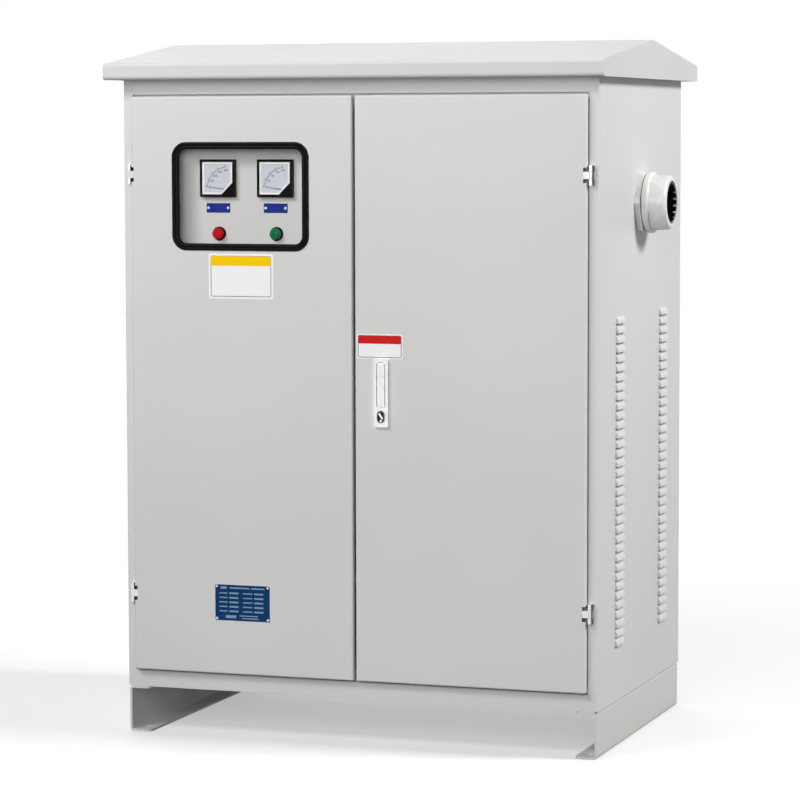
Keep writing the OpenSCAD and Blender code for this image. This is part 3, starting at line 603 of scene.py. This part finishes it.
def add_pan_screw(shape, place, out, d):
    """Domed screw or rivet head."""
    rise, steps = 0.32 * d, 6
    angles = [math.pi / 2 * i / steps for i in range(steps)]
    dome = [(d / 2 * math.cos(a), rise * math.sin(a)) for a in angles]
    settle(add_lathe(shape, [(0, 0), *dome, (0, rise)], 24), place, out)


# Window gasket: locking rubber strip with a groove along its middle, gripping the door's sheet and the pane

DOOR_SHEET, PANE_T = 2 * MM, 3 * MM
GASKET_R, GASKET_W = 32 * MM, 15 * MM
GASKET_BACK, GASKET_GRIP = 6 * MM, 6 * MM
door_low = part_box("left_door")[0]
door_face = door_low.y
gasket_low, gasket_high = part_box("window_gasket")
window_centre = front_spot("window_gasket", door_face)


def gasket(shape):
    """Section of inset and height: the lip on the door, then the grooves for the pane and the sheet."""
    size = gasket_high - gasket_low
    inner = GASKET_W - GASKET_GRIP
    lip = [(0, 0), (0, 1.6), (0.8, 2.9), (2.2, 3.7), (4, 3.9), (5.6, 3.5), (6.4, 2.5), (7.2, 2.1), (8, 2.5),
           (8.8, 3.5), (10.4, 4), (12.4, 3.7), (14, 2.8), (15, 1.4), (15, 0)]
    section = [(inset * MM, height * MM) for inset, height in lip]
    section += [(inner, 0), (inner, -PANE_T), (GASKET_W, -PANE_T), (GASKET_W, -GASKET_BACK),
                (0, -GASKET_BACK), (0, -DOOR_SHEET), (GASKET_GRIP, -DOOR_SHEET), (GASKET_GRIP, 0)]
    path = rounded_path(size.x, size.z, GASKET_R)
    settle(add_sweep(shape, path, section), window_centre, OUT)


piece("gasket_strip", gasket, black_rubber, "left_leaf", ["window_gasket"])


# Meter dials

DIAL_RIM, DIAL_CORNER, DIAL_DEEP = 5.5 * MM, 25 * MM, 2 * MM
BORDER_GAP, BORDER_W, BORDER_T = 0.2 * MM, 4 * MM, 1.4 * MM
CARD_LAP, CARD_T = 0.1 * MM, 0.6 * MM
INK_LOW, INK_HIGH = 0.62 * MM, 0.7 * MM
PIVOT_IN = 10 * MM
SCALE_R, ARC_W = 48 * MM, 0.7 * MM
ZERO_ANGLE, FULL_ANGLE = 172, 98
MARKS_PER_FIGURE = 5
LONG_MARK, SHORT_MARK = (4.5 * MM, 1.2 * MM), (2.6 * MM, 0.6 * MM)  # length and width
FIGURE_IN, FIGURE_H, FIGURE_T = 6 * MM, 6.6 * MM, 0.03 * MM
NEEDLE_FOOT, NEEDLE_PAST = 9 * MM, 1 * MM
NEEDLE_HALF, NEEDLE_TIP_SHARE = 0.7 * MM, 0.25
NEEDLE_LOW, NEEDLE_HIGH = 1.1 * MM, 1.5 * MM
dial_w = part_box("left_meter")[1].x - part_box("left_meter")[0].x - 2 * DIAL_RIM
pivot = Vector((dial_w / 2 - PIVOT_IN, PIVOT_IN - dial_w / 2))


def dial_outline(inset):
    """Dial with its lower right corner cut off, drawn in all round."""
    half = dial_w / 2 - inset
    short = DIAL_CORNER - inset * (2 - math.sqrt(2))
    return [(-half, -half), (half - short, -half), (half, short - half), (half, half), (-half, half)]


def on_dial(radius, degrees):
    a = math.radians(degrees)
    return pivot + radius * Vector((math.cos(a), math.sin(a)))


def add_ink_line(shape, start, end, width):
    along = (end - start).normalized()
    side = Vector((-along.y, along.x)) * width / 2
    return add_prism(shape, [start - side, end - side, end + side, start + side], INK_LOW, INK_HIGH)


def add_figures(shape, text, spot):
    """Figures of a scale, as flat letters about a point."""
    curve = bpy.data.curves.new("figures", "FONT")
    curve.body = text
    curve.size = FIGURE_H
    curve.align_x = "CENTER"
    curve.align_y = "CENTER"
    curve.extrude = FIGURE_T
    holder = bpy.data.objects.new("figures", curve)
    mesh = bpy.data.meshes.new_from_object(holder)
    mesh.transform(Matrix.Translation((spot.x, spot.y, INK_HIGH)))
    known = len(shape.verts)
    shape.from_mesh(mesh)
    shape.verts.ensure_lookup_table()
    bpy.data.objects.remove(holder)
    bpy.data.curves.remove(curve)
    bpy.data.meshes.remove(mesh)
    return [shape.verts[i] for i in range(known, len(shape.verts))]


def meter_parts(side, figures):
    """Border, card, scale and needle of one meter."""
    node = f"{side}_meter"
    spot = front_spot(node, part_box(node)[0].y + DIAL_DEEP)

    def border(shape):
        inner = dial_outline(BORDER_GAP + BORDER_W)
        settle(add_frame(shape, dial_outline(BORDER_GAP), inner, 0, BORDER_T), spot, OUT)

    def sheet(shape):
        outline = dial_outline(BORDER_GAP + BORDER_W - CARD_LAP)
        settle(add_prism(shape, outline, 0, CARD_T), spot, OUT)

    def marks(shape):
        """Arc, long and short marks, and a figure at each long one."""
        steps = (len(figures) - 1) * MARKS_PER_FIGURE
        angles = [ZERO_ANGLE + (FULL_ANGLE - ZERO_ANGLE) * i / steps for i in range(steps + 1)]
        corners = []
        for a, b in zip(angles, angles[1:]):
            corners += add_ink_line(shape, on_dial(SCALE_R, a), on_dial(SCALE_R, b), ARC_W)
        for i, a in enumerate(angles):
            long = i % MARKS_PER_FIGURE == 0
            reach, width = LONG_MARK if long else SHORT_MARK
            corners += add_ink_line(shape, on_dial(SCALE_R, a), on_dial(SCALE_R + reach, a), width)
            if long:
                corners += add_figures(shape, figures[i // MARKS_PER_FIGURE], on_dial(SCALE_R - FIGURE_IN, a))
        settle(corners, spot, OUT)

    def needle(shape):
        tip = on_dial(SCALE_R + NEEDLE_PAST, ZERO_ANGLE)
        foot = on_dial(NEEDLE_FOOT, ZERO_ANGLE)
        along = (tip - foot).normalized()
        across = Vector((-along.y, along.x)) * NEEDLE_HALF
        fine = across * NEEDLE_TIP_SHARE
        outline = [foot - across, tip - fine, tip + fine, foot + across]
        settle(add_prism(shape, outline, NEEDLE_LOW, NEEDLE_HIGH), spot, OUT)

    piece(f"{side}_dial_border", border, white_plastic, "left_leaf", edge=0.4)
    piece(f"{side}_dial_sheet", sheet, dial_card, "left_leaf")
    piece(f"{side}_dial_marks", marks, dial_ink, "left_leaf")
    piece(f"{side}_needle", needle, dial_ink, "left_leaf")


meter_parts("left", ("0", "100", "200", "300", "400"))
meter_parts("right", ("0", "50", "100", "150", "200"))


# Panel lamps: ribbed lens, black bezel ring and the body behind the panel

TRAY_SHEET = 1.5 * MM
BEZEL_W, LENS_GAP = 3 * MM, 0.1 * MM
LENS_RIBS, RIB_DEPTH = 36, 0.12

# Shares of the lens's radius and reach: where its ribs begin and are full, and its outline
RIB_FROM_R, RIB_FULL_H = 0.72, 0.4
LENS_DOME = ((1, 0), (1, 0.6), (0.97, 0.76), (0.88, 0.88), (0.7, 0.97), (0.62, 0.94), (0.35, 0.98), (0, 1))

NECK_R, COLLAR_R, TAIL_R = 11 * MM, 13 * MM, 8 * MM
panel_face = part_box("instrument_tray")[1].y - TRAY_SHEET


def lamp_parts(colour, material):
    """Lens, bezel and body of one panel lamp."""
    node = f"{colour}_lamp"
    low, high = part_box(node)
    spot = front_spot(node, panel_face)
    bezel_r = (high.x - low.x) / 2
    lens_r = bezel_r - BEZEL_W
    reach = panel_face - low.y
    back = high.y - panel_face

    def lens_shape(shape):
        """Domed lens with a ring of prisms around its rim."""
        dome = [(lens_r * across, reach * height) for across, height in LENS_DOME]
        corners = add_lathe(shape, [(0, 0), *dome], 2 * LENS_RIBS)
        for corner in corners:
            away = Vector((corner.co.x, corner.co.y))
            turn = math.atan2(away.y, away.x) * LENS_RIBS
            rim = max(0.0, away.length / lens_r - RIB_FROM_R) * min(1.0, corner.co.z / (RIB_FULL_H * reach))
            pinch = 1 + RIB_DEPTH * rim * (math.cos(turn) - 1)
            corner.co.x *= pinch
            corner.co.y *= pinch
        settle(corners, spot, OUT)

    def bezel_shape(shape):
        bore = lens_r + LENS_GAP
        ring = [(bore, 0), (bezel_r, 0), (bezel_r, 2.6 * MM), (bezel_r - 0.7 * MM, 4.1 * MM),
                (bezel_r - 1.6 * MM, 4.6 * MM), (bore, 4.1 * MM)]
        settle(add_lathe(shape, ring, 64, closed=True), spot, OUT)

    def body_shape(shape):
        """Threaded neck with a collar, drawn in to the tail."""
        profile = [(0, 0), (NECK_R, 0), (NECK_R, 0.3 * back), (COLLAR_R, 0.3 * back), (COLLAR_R, 0.45 * back),
                   (NECK_R, 0.45 * back), (NECK_R, 0.8 * back), (TAIL_R, back), (0, back)]
        settle(add_lathe(shape, profile, 40), spot, -OUT)

    piece(f"{colour}_lamp_lens", lens_shape, material, "left_leaf", [node])
    piece(f"{colour}_lamp_bezel", bezel_shape, meter_black, "left_leaf")
    piece(f"{colour}_lamp_body", body_shape, meter_black, "left_leaf")


lamp_parts("red", red_lens)
lamp_parts("green", green_lens)


# Blank label plates under the meters, held by two screws each

LABEL_W, LABEL_H, LABEL_T, LABEL_R = 54 * MM, 20 * MM, 1.2 * MM, 1.5 * MM
LABEL_SHIFT, LABEL_DROP = -2 * MM, 63.3 * MM
LABEL_SCREW_IN, LABEL_SCREW_D = 4.5 * MM, 6 * MM
meter_spots = [front_spot(f"{side}_meter", panel_face) for side in ("left", "right")]
label_spots = [spot + RIGHT * LABEL_SHIFT - UP * LABEL_DROP for spot in meter_spots]


def label_plates(shape):
    for spot in label_spots:
        settle(add_prism(shape, rounded_outline(LABEL_W, LABEL_H, LABEL_R), 0, LABEL_T), spot, OUT)


def label_screws(shape):
    for spot in label_spots:
        for side in (-1, 1):
            at = spot + RIGHT * side * (LABEL_W / 2 - LABEL_SCREW_IN) + OUT * LABEL_T
            add_pan_screw(shape, at, OUT, LABEL_SCREW_D)


piece("label_plates", label_plates, label_blue, "left_leaf", edge=0.25)
piece("label_screws", label_screws, white_plastic, "left_leaf")


# Blank data plate low on the left door: empty fields, and a rivet in each corner

PLATE_W, PLATE_H, PLATE_T, PLATE_R = 125 * MM, 77 * MM, 0.8 * MM, 2.5 * MM
PLATE_RISE = 155 * MM
FIELD_T, FIELD_R = 0.08 * MM, 0.8 * MM
FIELD_ROWS, FIELD_TOP, FIELD_PITCH = 5, 20.5, 9.7
RIVET_IN, RIVET_D = 4 * MM, 5.5 * MM
plate_spot = Vector((window_centre.x, door_face, door_low.z + PLATE_RISE))


def data_plate(shape):
    outline = rounded_outline(PLATE_W, PLATE_H, PLATE_R)
    settle(add_prism(shape, outline, 0, PLATE_T), plate_spot, OUT)


def data_fields(shape):
    """Empty fields in millimetres from the plate's middle: a heading, rows of two pairs, and a foot."""
    columns = ((-43.5, 19, 2.4), (-19.5, 21, 3.6), (12, 22, 2.4), (37.5, 21, 3.6))
    fields = [(-43, 32, 14, 5), (-6.5, 32, 45, 3), (35.5, 32, 31, 3), (-26.5, -30, 24, 6),
              (14, -27.5, 42, 2.2), (18, -33, 38, 2.2)]
    for row in range(FIELD_ROWS):
        z = FIELD_TOP - FIELD_PITCH * row
        fields += [(x, z, w, h) for x, w, h in columns]
    corners = []
    for x, z, w, h in fields:
        outline = rounded_outline(w * MM, h * MM, FIELD_R, 3)
        outline = [(u + x * MM, v + z * MM) for u, v in outline]
        corners += add_prism(shape, outline, PLATE_T, PLATE_T + FIELD_T)
    settle(corners, plate_spot, OUT)


def data_rivets(shape):
    x, z = PLATE_W / 2 - RIVET_IN, PLATE_H / 2 - RIVET_IN
    for sx in (-1, 1):
        for sz in (-1, 1):
            add_pan_screw(shape, plate_spot + Vector((sx * x, -PLATE_T, sz * z)), OUT, RIVET_D)


piece("data_plate", data_plate, plate_blue, "left_leaf", edge=0.2)
piece("data_plate_fields", data_fields, plate_line, "left_leaf")
piece("data_plate_rivets", data_rivets, white_plastic, "left_leaf")


# Blank film labels, each a white card with a fine border and a plain coloured band along its top

FILM_T, FILM_R = 0.25 * MM, 4 * MM
BORDER_LINE, BORDER_RISE = 1.6 * MM, 0.05 * MM
BAND_IN, BAND_R, BAND_RISE = 0.8 * MM, 2.5 * MM, 0.1 * MM


def film_label(name, spot, size, margin, band_h, band_film, body):
    """Label whose border has the given size, with a margin around it."""
    w, h = size

    def sheet(shape):
        outline = rounded_outline(w + 2 * margin, h + 2 * margin, FILM_R)
        settle(add_prism(shape, outline, 0, FILM_T), spot, OUT)

    def border(shape):
        outer = rounded_outline(w, h, FILM_R)
        inner = rounded_outline(w - 2 * BORDER_LINE, h - 2 * BORDER_LINE, FILM_R - BORDER_LINE)
        settle(add_frame(shape, outer, inner, FILM_T, FILM_T + BORDER_RISE), spot, OUT)

    def band(shape):
        outline = rounded_outline(w - 2 * BAND_IN, band_h, BAND_R)
        shift = h / 2 - band_h / 2 - BAND_IN
        corners = add_prism(shape, [(x, y + shift) for x, y in outline], FILM_T, FILM_T + BAND_RISE)
        settle(corners, spot, OUT)

    piece(f"{name}_card", sheet, white_film, body)
    piece(f"{name}_border", border, grey_film, body)
    piece(f"{name}_band", band, band_film, body)


UPPER_SHIFT, UPPER_DROP = 1 * MM, 54 * MM
UPPER_SIZE, UPPER_MARGIN, UPPER_BAND = (138 * MM, 87 * MM), 4.5 * MM, 20.5 * MM
LOWER_SHIFT, LOWER_RISE = -4.8 * MM, 27 * MM
LOWER_SIZE, LOWER_MARGIN, LOWER_BAND = (97 * MM, 47 * MM), 2.4 * MM, 17 * MM
handle_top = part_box("handle_plate")[1].z
handle_x = middle("handle_plate").x
upper_spot = Vector((window_centre.x + UPPER_SHIFT, door_face, gasket_low.z - UPPER_DROP))
lower_spot = Vector((handle_x + LOWER_SHIFT, door_face, handle_top + LOWER_RISE))
film_label("upper_label", upper_spot, UPPER_SIZE, UPPER_MARGIN, UPPER_BAND, yellow_film, "left_leaf")
film_label("handle_label", lower_spot, LOWER_SIZE, LOWER_MARGIN, LOWER_BAND, red_film, "right_leaf")


# Lock: an oval guard around the barrel, its dark bed, and a bright flap turned across it

LOCK_RISE = 1.2 * MM
FLAP_W, FLAP_H, FLAP_R = 4.2 * MM, 15 * MM, 2 * MM
FLAP_TURN, FLAP_UP, FLAP_LIFT = math.radians(32), 1.5 * MM, 0.4 * LOCK_RISE
FLAP_RIVET_D, FLAP_RIVET_DOWN = 5 * MM, 8.5 * MM
lock_low, lock_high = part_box("lock_barrel")
lock_spot = front_spot("lock_barrel", lock_low.y)
lock_r = (lock_high.x - lock_low.x) / 2


def lock_guard(shape):
    """Oval ring that stands on the handle's plate."""
    outer = rounded_outline(2.2 * lock_r, 3.3 * lock_r, 1.05 * lock_r, 10)
    inner = rounded_outline(1.7 * lock_r, 2.8 * lock_r, 0.82 * lock_r, 10)
    settle(add_frame(shape, outer, inner, 0, LOCK_RISE), lock_spot, OUT)


def lock_bed(shape):
    outline = rounded_outline(1.8 * lock_r, 2.9 * lock_r, 0.86 * lock_r, 10)
    settle(add_prism(shape, outline, 0, 0.5 * LOCK_RISE), lock_spot, OUT)


def lock_flap(shape):
    """Turned cover across the plug, and its rivet below."""
    corners = add_prism(shape, rounded_outline(FLAP_W, FLAP_H, FLAP_R), FLAP_LIFT, LOCK_RISE)
    for corner in corners:
        corner.co = Matrix.Rotation(FLAP_TURN, 3, "Z") @ corner.co
    settle(corners, lock_spot + UP * FLAP_UP, OUT)
    add_pan_screw(shape, lock_spot - UP * FLAP_RIVET_DOWN + OUT * FLAP_LIFT, OUT, FLAP_RIVET_D)


piece("lock_guard", lock_guard, lock_steel, "right_leaf", edge=0.3)
piece("lock_bed", lock_bed, claw_black, "right_leaf")
piece("lock_flap", lock_flap, handle_zinc, "right_leaf", edge=0.2)


# Gland: fingers of the clamping claw inside the nut's mouth

CLAW_FINGERS, CLAW_SINK, CLAW_FOOT = 18, 1 * MM, 0.2 * MM
FINGER_SHARE, FINGER_TAPER = 0.74, 0.25
CLAW_R = ((45.6 * MM, 41 * MM), (44.6 * MM, 40.2 * MM), (42.6 * MM, 39.6 * MM))
seal_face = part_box("gland_seal")[1].x
claw_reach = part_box("gland_nut")[1].x - seal_face - CLAW_SINK
gland_spot = middle("gland_nut")
gland_spot.x = seal_face


def gland_claw(shape):
    """Ring of tapered fingers that lean inwards, from the seal to the nut's mouth."""
    half = math.pi / CLAW_FINGERS * FINGER_SHARE
    heights = (CLAW_FOOT, claw_reach / 2, claw_reach)
    for i in range(CLAW_FINGERS):
        turn = 2 * math.pi * i / CLAW_FINGERS
        rings = []
        for height, (outer, inner) in zip(heights, CLAW_R):
            ring = []
            for radius, sides in ((outer, (-1, 0, 1)), (inner, (1, 0, -1))):
                for side in sides:
                    a = turn + side * half * (1 - FINGER_TAPER * height / claw_reach)
                    ring.append(shape.verts.new((radius * math.cos(a), radius * math.sin(a), height)))
            rings.append(ring)
        for low, high in zip(rings, rings[1:]):
            for k in range(len(low)):
                j = (k + 1) % len(low)
                shape.faces.new((low[k], low[j], high[j], high[k]))
        shape.faces.new(rings[0][::-1])
        shape.faces.new(rings[-1])
        settle([corner for ring in rings for corner in ring], gland_spot, RIGHT)


piece("gland_claw", gland_claw, claw_black, "cabinet", edge=0.5)


# Sealing strips inside the doors, along the hinge side, the top and the bottom

SEAL_W, SEAL_T = 11 * MM, 23 * MM
SEAL_IN, MEETING_IN = 6 * MM, 9 * MM
HINGE_GAP = 17 * MM
HINGE_HEIGHTS = (306 * MM, 1209 * MM)


def door_seal(side):
    """Builder for one door: strips that rest on the door's inner face and meet the frame."""
    low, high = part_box(f"{side}_door")
    left_in, right_in = (SEAL_IN, MEETING_IN) if side == "left" else (MEETING_IN, SEAL_IN)

    def build(shape):
        near = low.y + DOOR_SHEET
        far = near + SEAL_T
        first, last = low.x + left_in, high.x - right_in
        for z in (low.z + SEAL_IN, high.z - SEAL_IN - SEAL_W):
            add_box(shape, (first, near, z), (last, far, z + SEAL_W))
        x = first if side == "left" else last - SEAL_W
        stops = [low.z + SEAL_IN + SEAL_W]
        for z in HINGE_HEIGHTS:
            stops += [z - HINGE_GAP, z + HINGE_GAP]
        stops.append(high.z - SEAL_IN - SEAL_W)
        for start, end in zip(stops[::2], stops[1::2]):
            add_box(shape, (x, near, start), (x + SEAL_W, far, end))

    return build


for side in ("left", "right"):
    piece(f"{side}_door_seal", door_seal(side), seal_foam, f"{side}_leaf", edge=1.2)


# Bolts of the core clamps, and the nuts of the terminals

CLAMP_BOLT, CLAMP_WEB = 14 * MM, 6 * MM
BOLT_IN, BOLT_MID = 25 * MM, 125 * MM
GROUP_PITCH, STUD_HALF = 225 * MM, 28 * MM
NUT_W, NUT_T, NUT_RISE, NUT_STEP = 22 * MM, 9.8 * MM, 7.6 * MM, 13 * MM
core_low, core_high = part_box("core")


def clamp_bolts(shape):
    """Bolts at both ends of each clamp and between the coils, front and rear."""
    for node in ("bottom_clamps", "top_clamps"):
        low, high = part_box(node)
        z = middle(node).z
        for x in (low.x + BOLT_IN, -BOLT_MID, BOLT_MID, high.x - BOLT_IN):
            add_bolt(shape, Vector((x, core_low.y - CLAMP_WEB, z)), OUT, CLAMP_BOLT)
            add_bolt(shape, Vector((x, core_high.y + CLAMP_WEB, z)), -OUT, CLAMP_BOLT)


def terminal_nuts(shape):
    """Two nuts on each stud, in three groups of two studs."""
    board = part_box("terminal_board")[0].y
    z = middle("terminal_studs").z
    for group in (-GROUP_PITCH, 0, GROUP_PITCH):
        for side in (-STUD_HALF, STUD_HALF):
            for rise in (NUT_RISE, NUT_RISE + NUT_STEP):
                corners = add_prism(shape, hexagon(NUT_W), rise, rise + NUT_T)
                settle(corners, Vector((group + side, board, z)), OUT)


piece("clamp_bolts", clamp_bolts, bolt_zinc, "cabinet", edge=0.6)
piece("terminal_nuts", terminal_nuts, stud_brass, "cabinet", edge=0.6)


# Floor, world and lamps

FLOOR_SPAN = 60
FLOOR_UNSEEN, FLOOR_SEEN = (84, 84, 84), (248, 248, 248)
FADE_START, FADE_END, FADE_LEAST = 0.9, 2.6, 0.4
AMBIENT = 0.06


def seen_directly(sheet):
    """One for rays from the camera, and for those that metal and glass send on."""
    kinds = ("Camera", "Glossy", "Transmission")
    camera, glossy, through = (sheet.node("ShaderNodeLightPath", output=f"Is {kind} Ray") for kind in kinds)
    return camera.most(glossy).most(through)


def studio_floor():
    """Pale floor that keeps the shadow, fades to white farther out and throws little light back."""
    bpy.ops.mesh.primitive_plane_add(size=FLOOR_SPAN, location=(0, 0, 0))
    ground = bpy.context.object
    ground.name = "studio_floor"
    finish = Finish("floor_white", roughness=0.9, specular=0.0)
    seen = seen_directly(finish)
    finish.set("colour", finish.mix(seen, FLOOR_UNSEEN, FLOOR_SEEN))
    glow = finish.node("ShaderNodeEmission", {}, {"Color": WHITE, "Strength": 1.0})
    lit = Strand(finish, finish.shader.outputs[0])
    away = finish.node("ShaderNodeVectorMath", {"operation": "LENGTH"}, [finish.place()], output="Value")
    fade = FADE_LEAST + (1 - FADE_LEAST) * away.between(FADE_START, FADE_END)
    shown = finish.node("ShaderNodeMixShader", {}, [fade * seen, lit, glow])
    finish.tree.links.new(shown.socket, finish.tree.nodes["Material Output"].inputs["Surface"])
    ground.data.materials.append(finish.material)


def studio_world(strength):
    """White backdrop that lights the object only faintly."""
    world = bpy.data.worlds.new("studio")
    world.use_nodes = True
    bpy.context.scene.world = world
    sheet = Sheet(world.node_tree)
    ambient = sheet.node("ShaderNodeBackground", {}, {"Color": WHITE, "Strength": strength})
    white = sheet.node("ShaderNodeBackground", {}, {"Color": WHITE, "Strength": 1.0})
    shown = sheet.node("ShaderNodeMixShader", {}, [seen_directly(sheet), ambient, white])
    world.node_tree.links.new(shown.socket, world.node_tree.nodes["World Output"].inputs["Surface"])


def soft_lamp(name, place, aim, size, power):
    """Rectangular lamp at a place, aimed at a point, in metres and watts."""
    data = bpy.data.lights.new(name, "AREA")
    data.shape = "RECTANGLE"
    data.size, data.size_y = size
    data.energy = power
    lamp = bpy.data.objects.new(name, data)
    bpy.context.scene.collection.objects.link(lamp)
    lamp.location = place
    lamp.rotation_euler = (Vector(aim) - Vector(place)).to_track_quat("-Z", "Y").to_euler()


studio_floor()
studio_world(AMBIENT)
soft_lamp("key", (-1.8, -3.6, 3.6), (0, -0.2, 0.9), (2.0, 1.4), 108)
soft_lamp("front", (0.8, -5.6, 2.1), (0, 0, 0.8), (3.0, 2.2), 155)
soft_lamp("side", (5.5, 0.4, 4.8), (0.5, 0, 0.8), (1.6, 1.6), 390)
soft_lamp("rear", (-3.4, 4.2, 1.9), (-0.2, 0.2, 0.8), (5.0, 3.2), 255)


# Camera, at the photograph's place: degrees, metres, pixels, and the sensor in millimetres

VIEW_YAW, VIEW_PITCH, VIEW_ROLL = 19.034, 4.757, -0.126
VIEW_PLACE = (2.2813, -6.67239, 1.29583)
FOCAL_PIXELS, PICTURE_PIXELS, SENSOR = 3206.47, 800, 36.0
VIEW_REACH = 100


def photo_camera():
    yaw, pitch, roll = (math.radians(a) for a in (VIEW_YAW, VIEW_PITCH, VIEW_ROLL))
    ahead = Vector((-math.sin(yaw) * math.cos(pitch), math.cos(yaw) * math.cos(pitch), -math.sin(pitch)))
    right = ahead.cross(UP).normalized()
    up = right.cross(ahead)
    tilted = math.cos(roll) * right + math.sin(roll) * up
    upright = math.cos(roll) * up - math.sin(roll) * right
    data = bpy.data.cameras.new("camera")
    data.sensor_width = SENSOR
    data.lens = SENSOR * FOCAL_PIXELS / PICTURE_PIXELS
    data.clip_end = VIEW_REACH
    camera = bpy.data.objects.new("camera", data)
    bpy.context.scene.collection.objects.link(camera)
    turn = Matrix((tilted, upright, -ahead)).transposed().to_4x4()
    camera.matrix_world = Matrix.Translation(VIEW_PLACE) @ turn
    bpy.context.scene.camera = camera


photo_camera()
bpy.context.scene.view_settings.view_transform = "Standard"
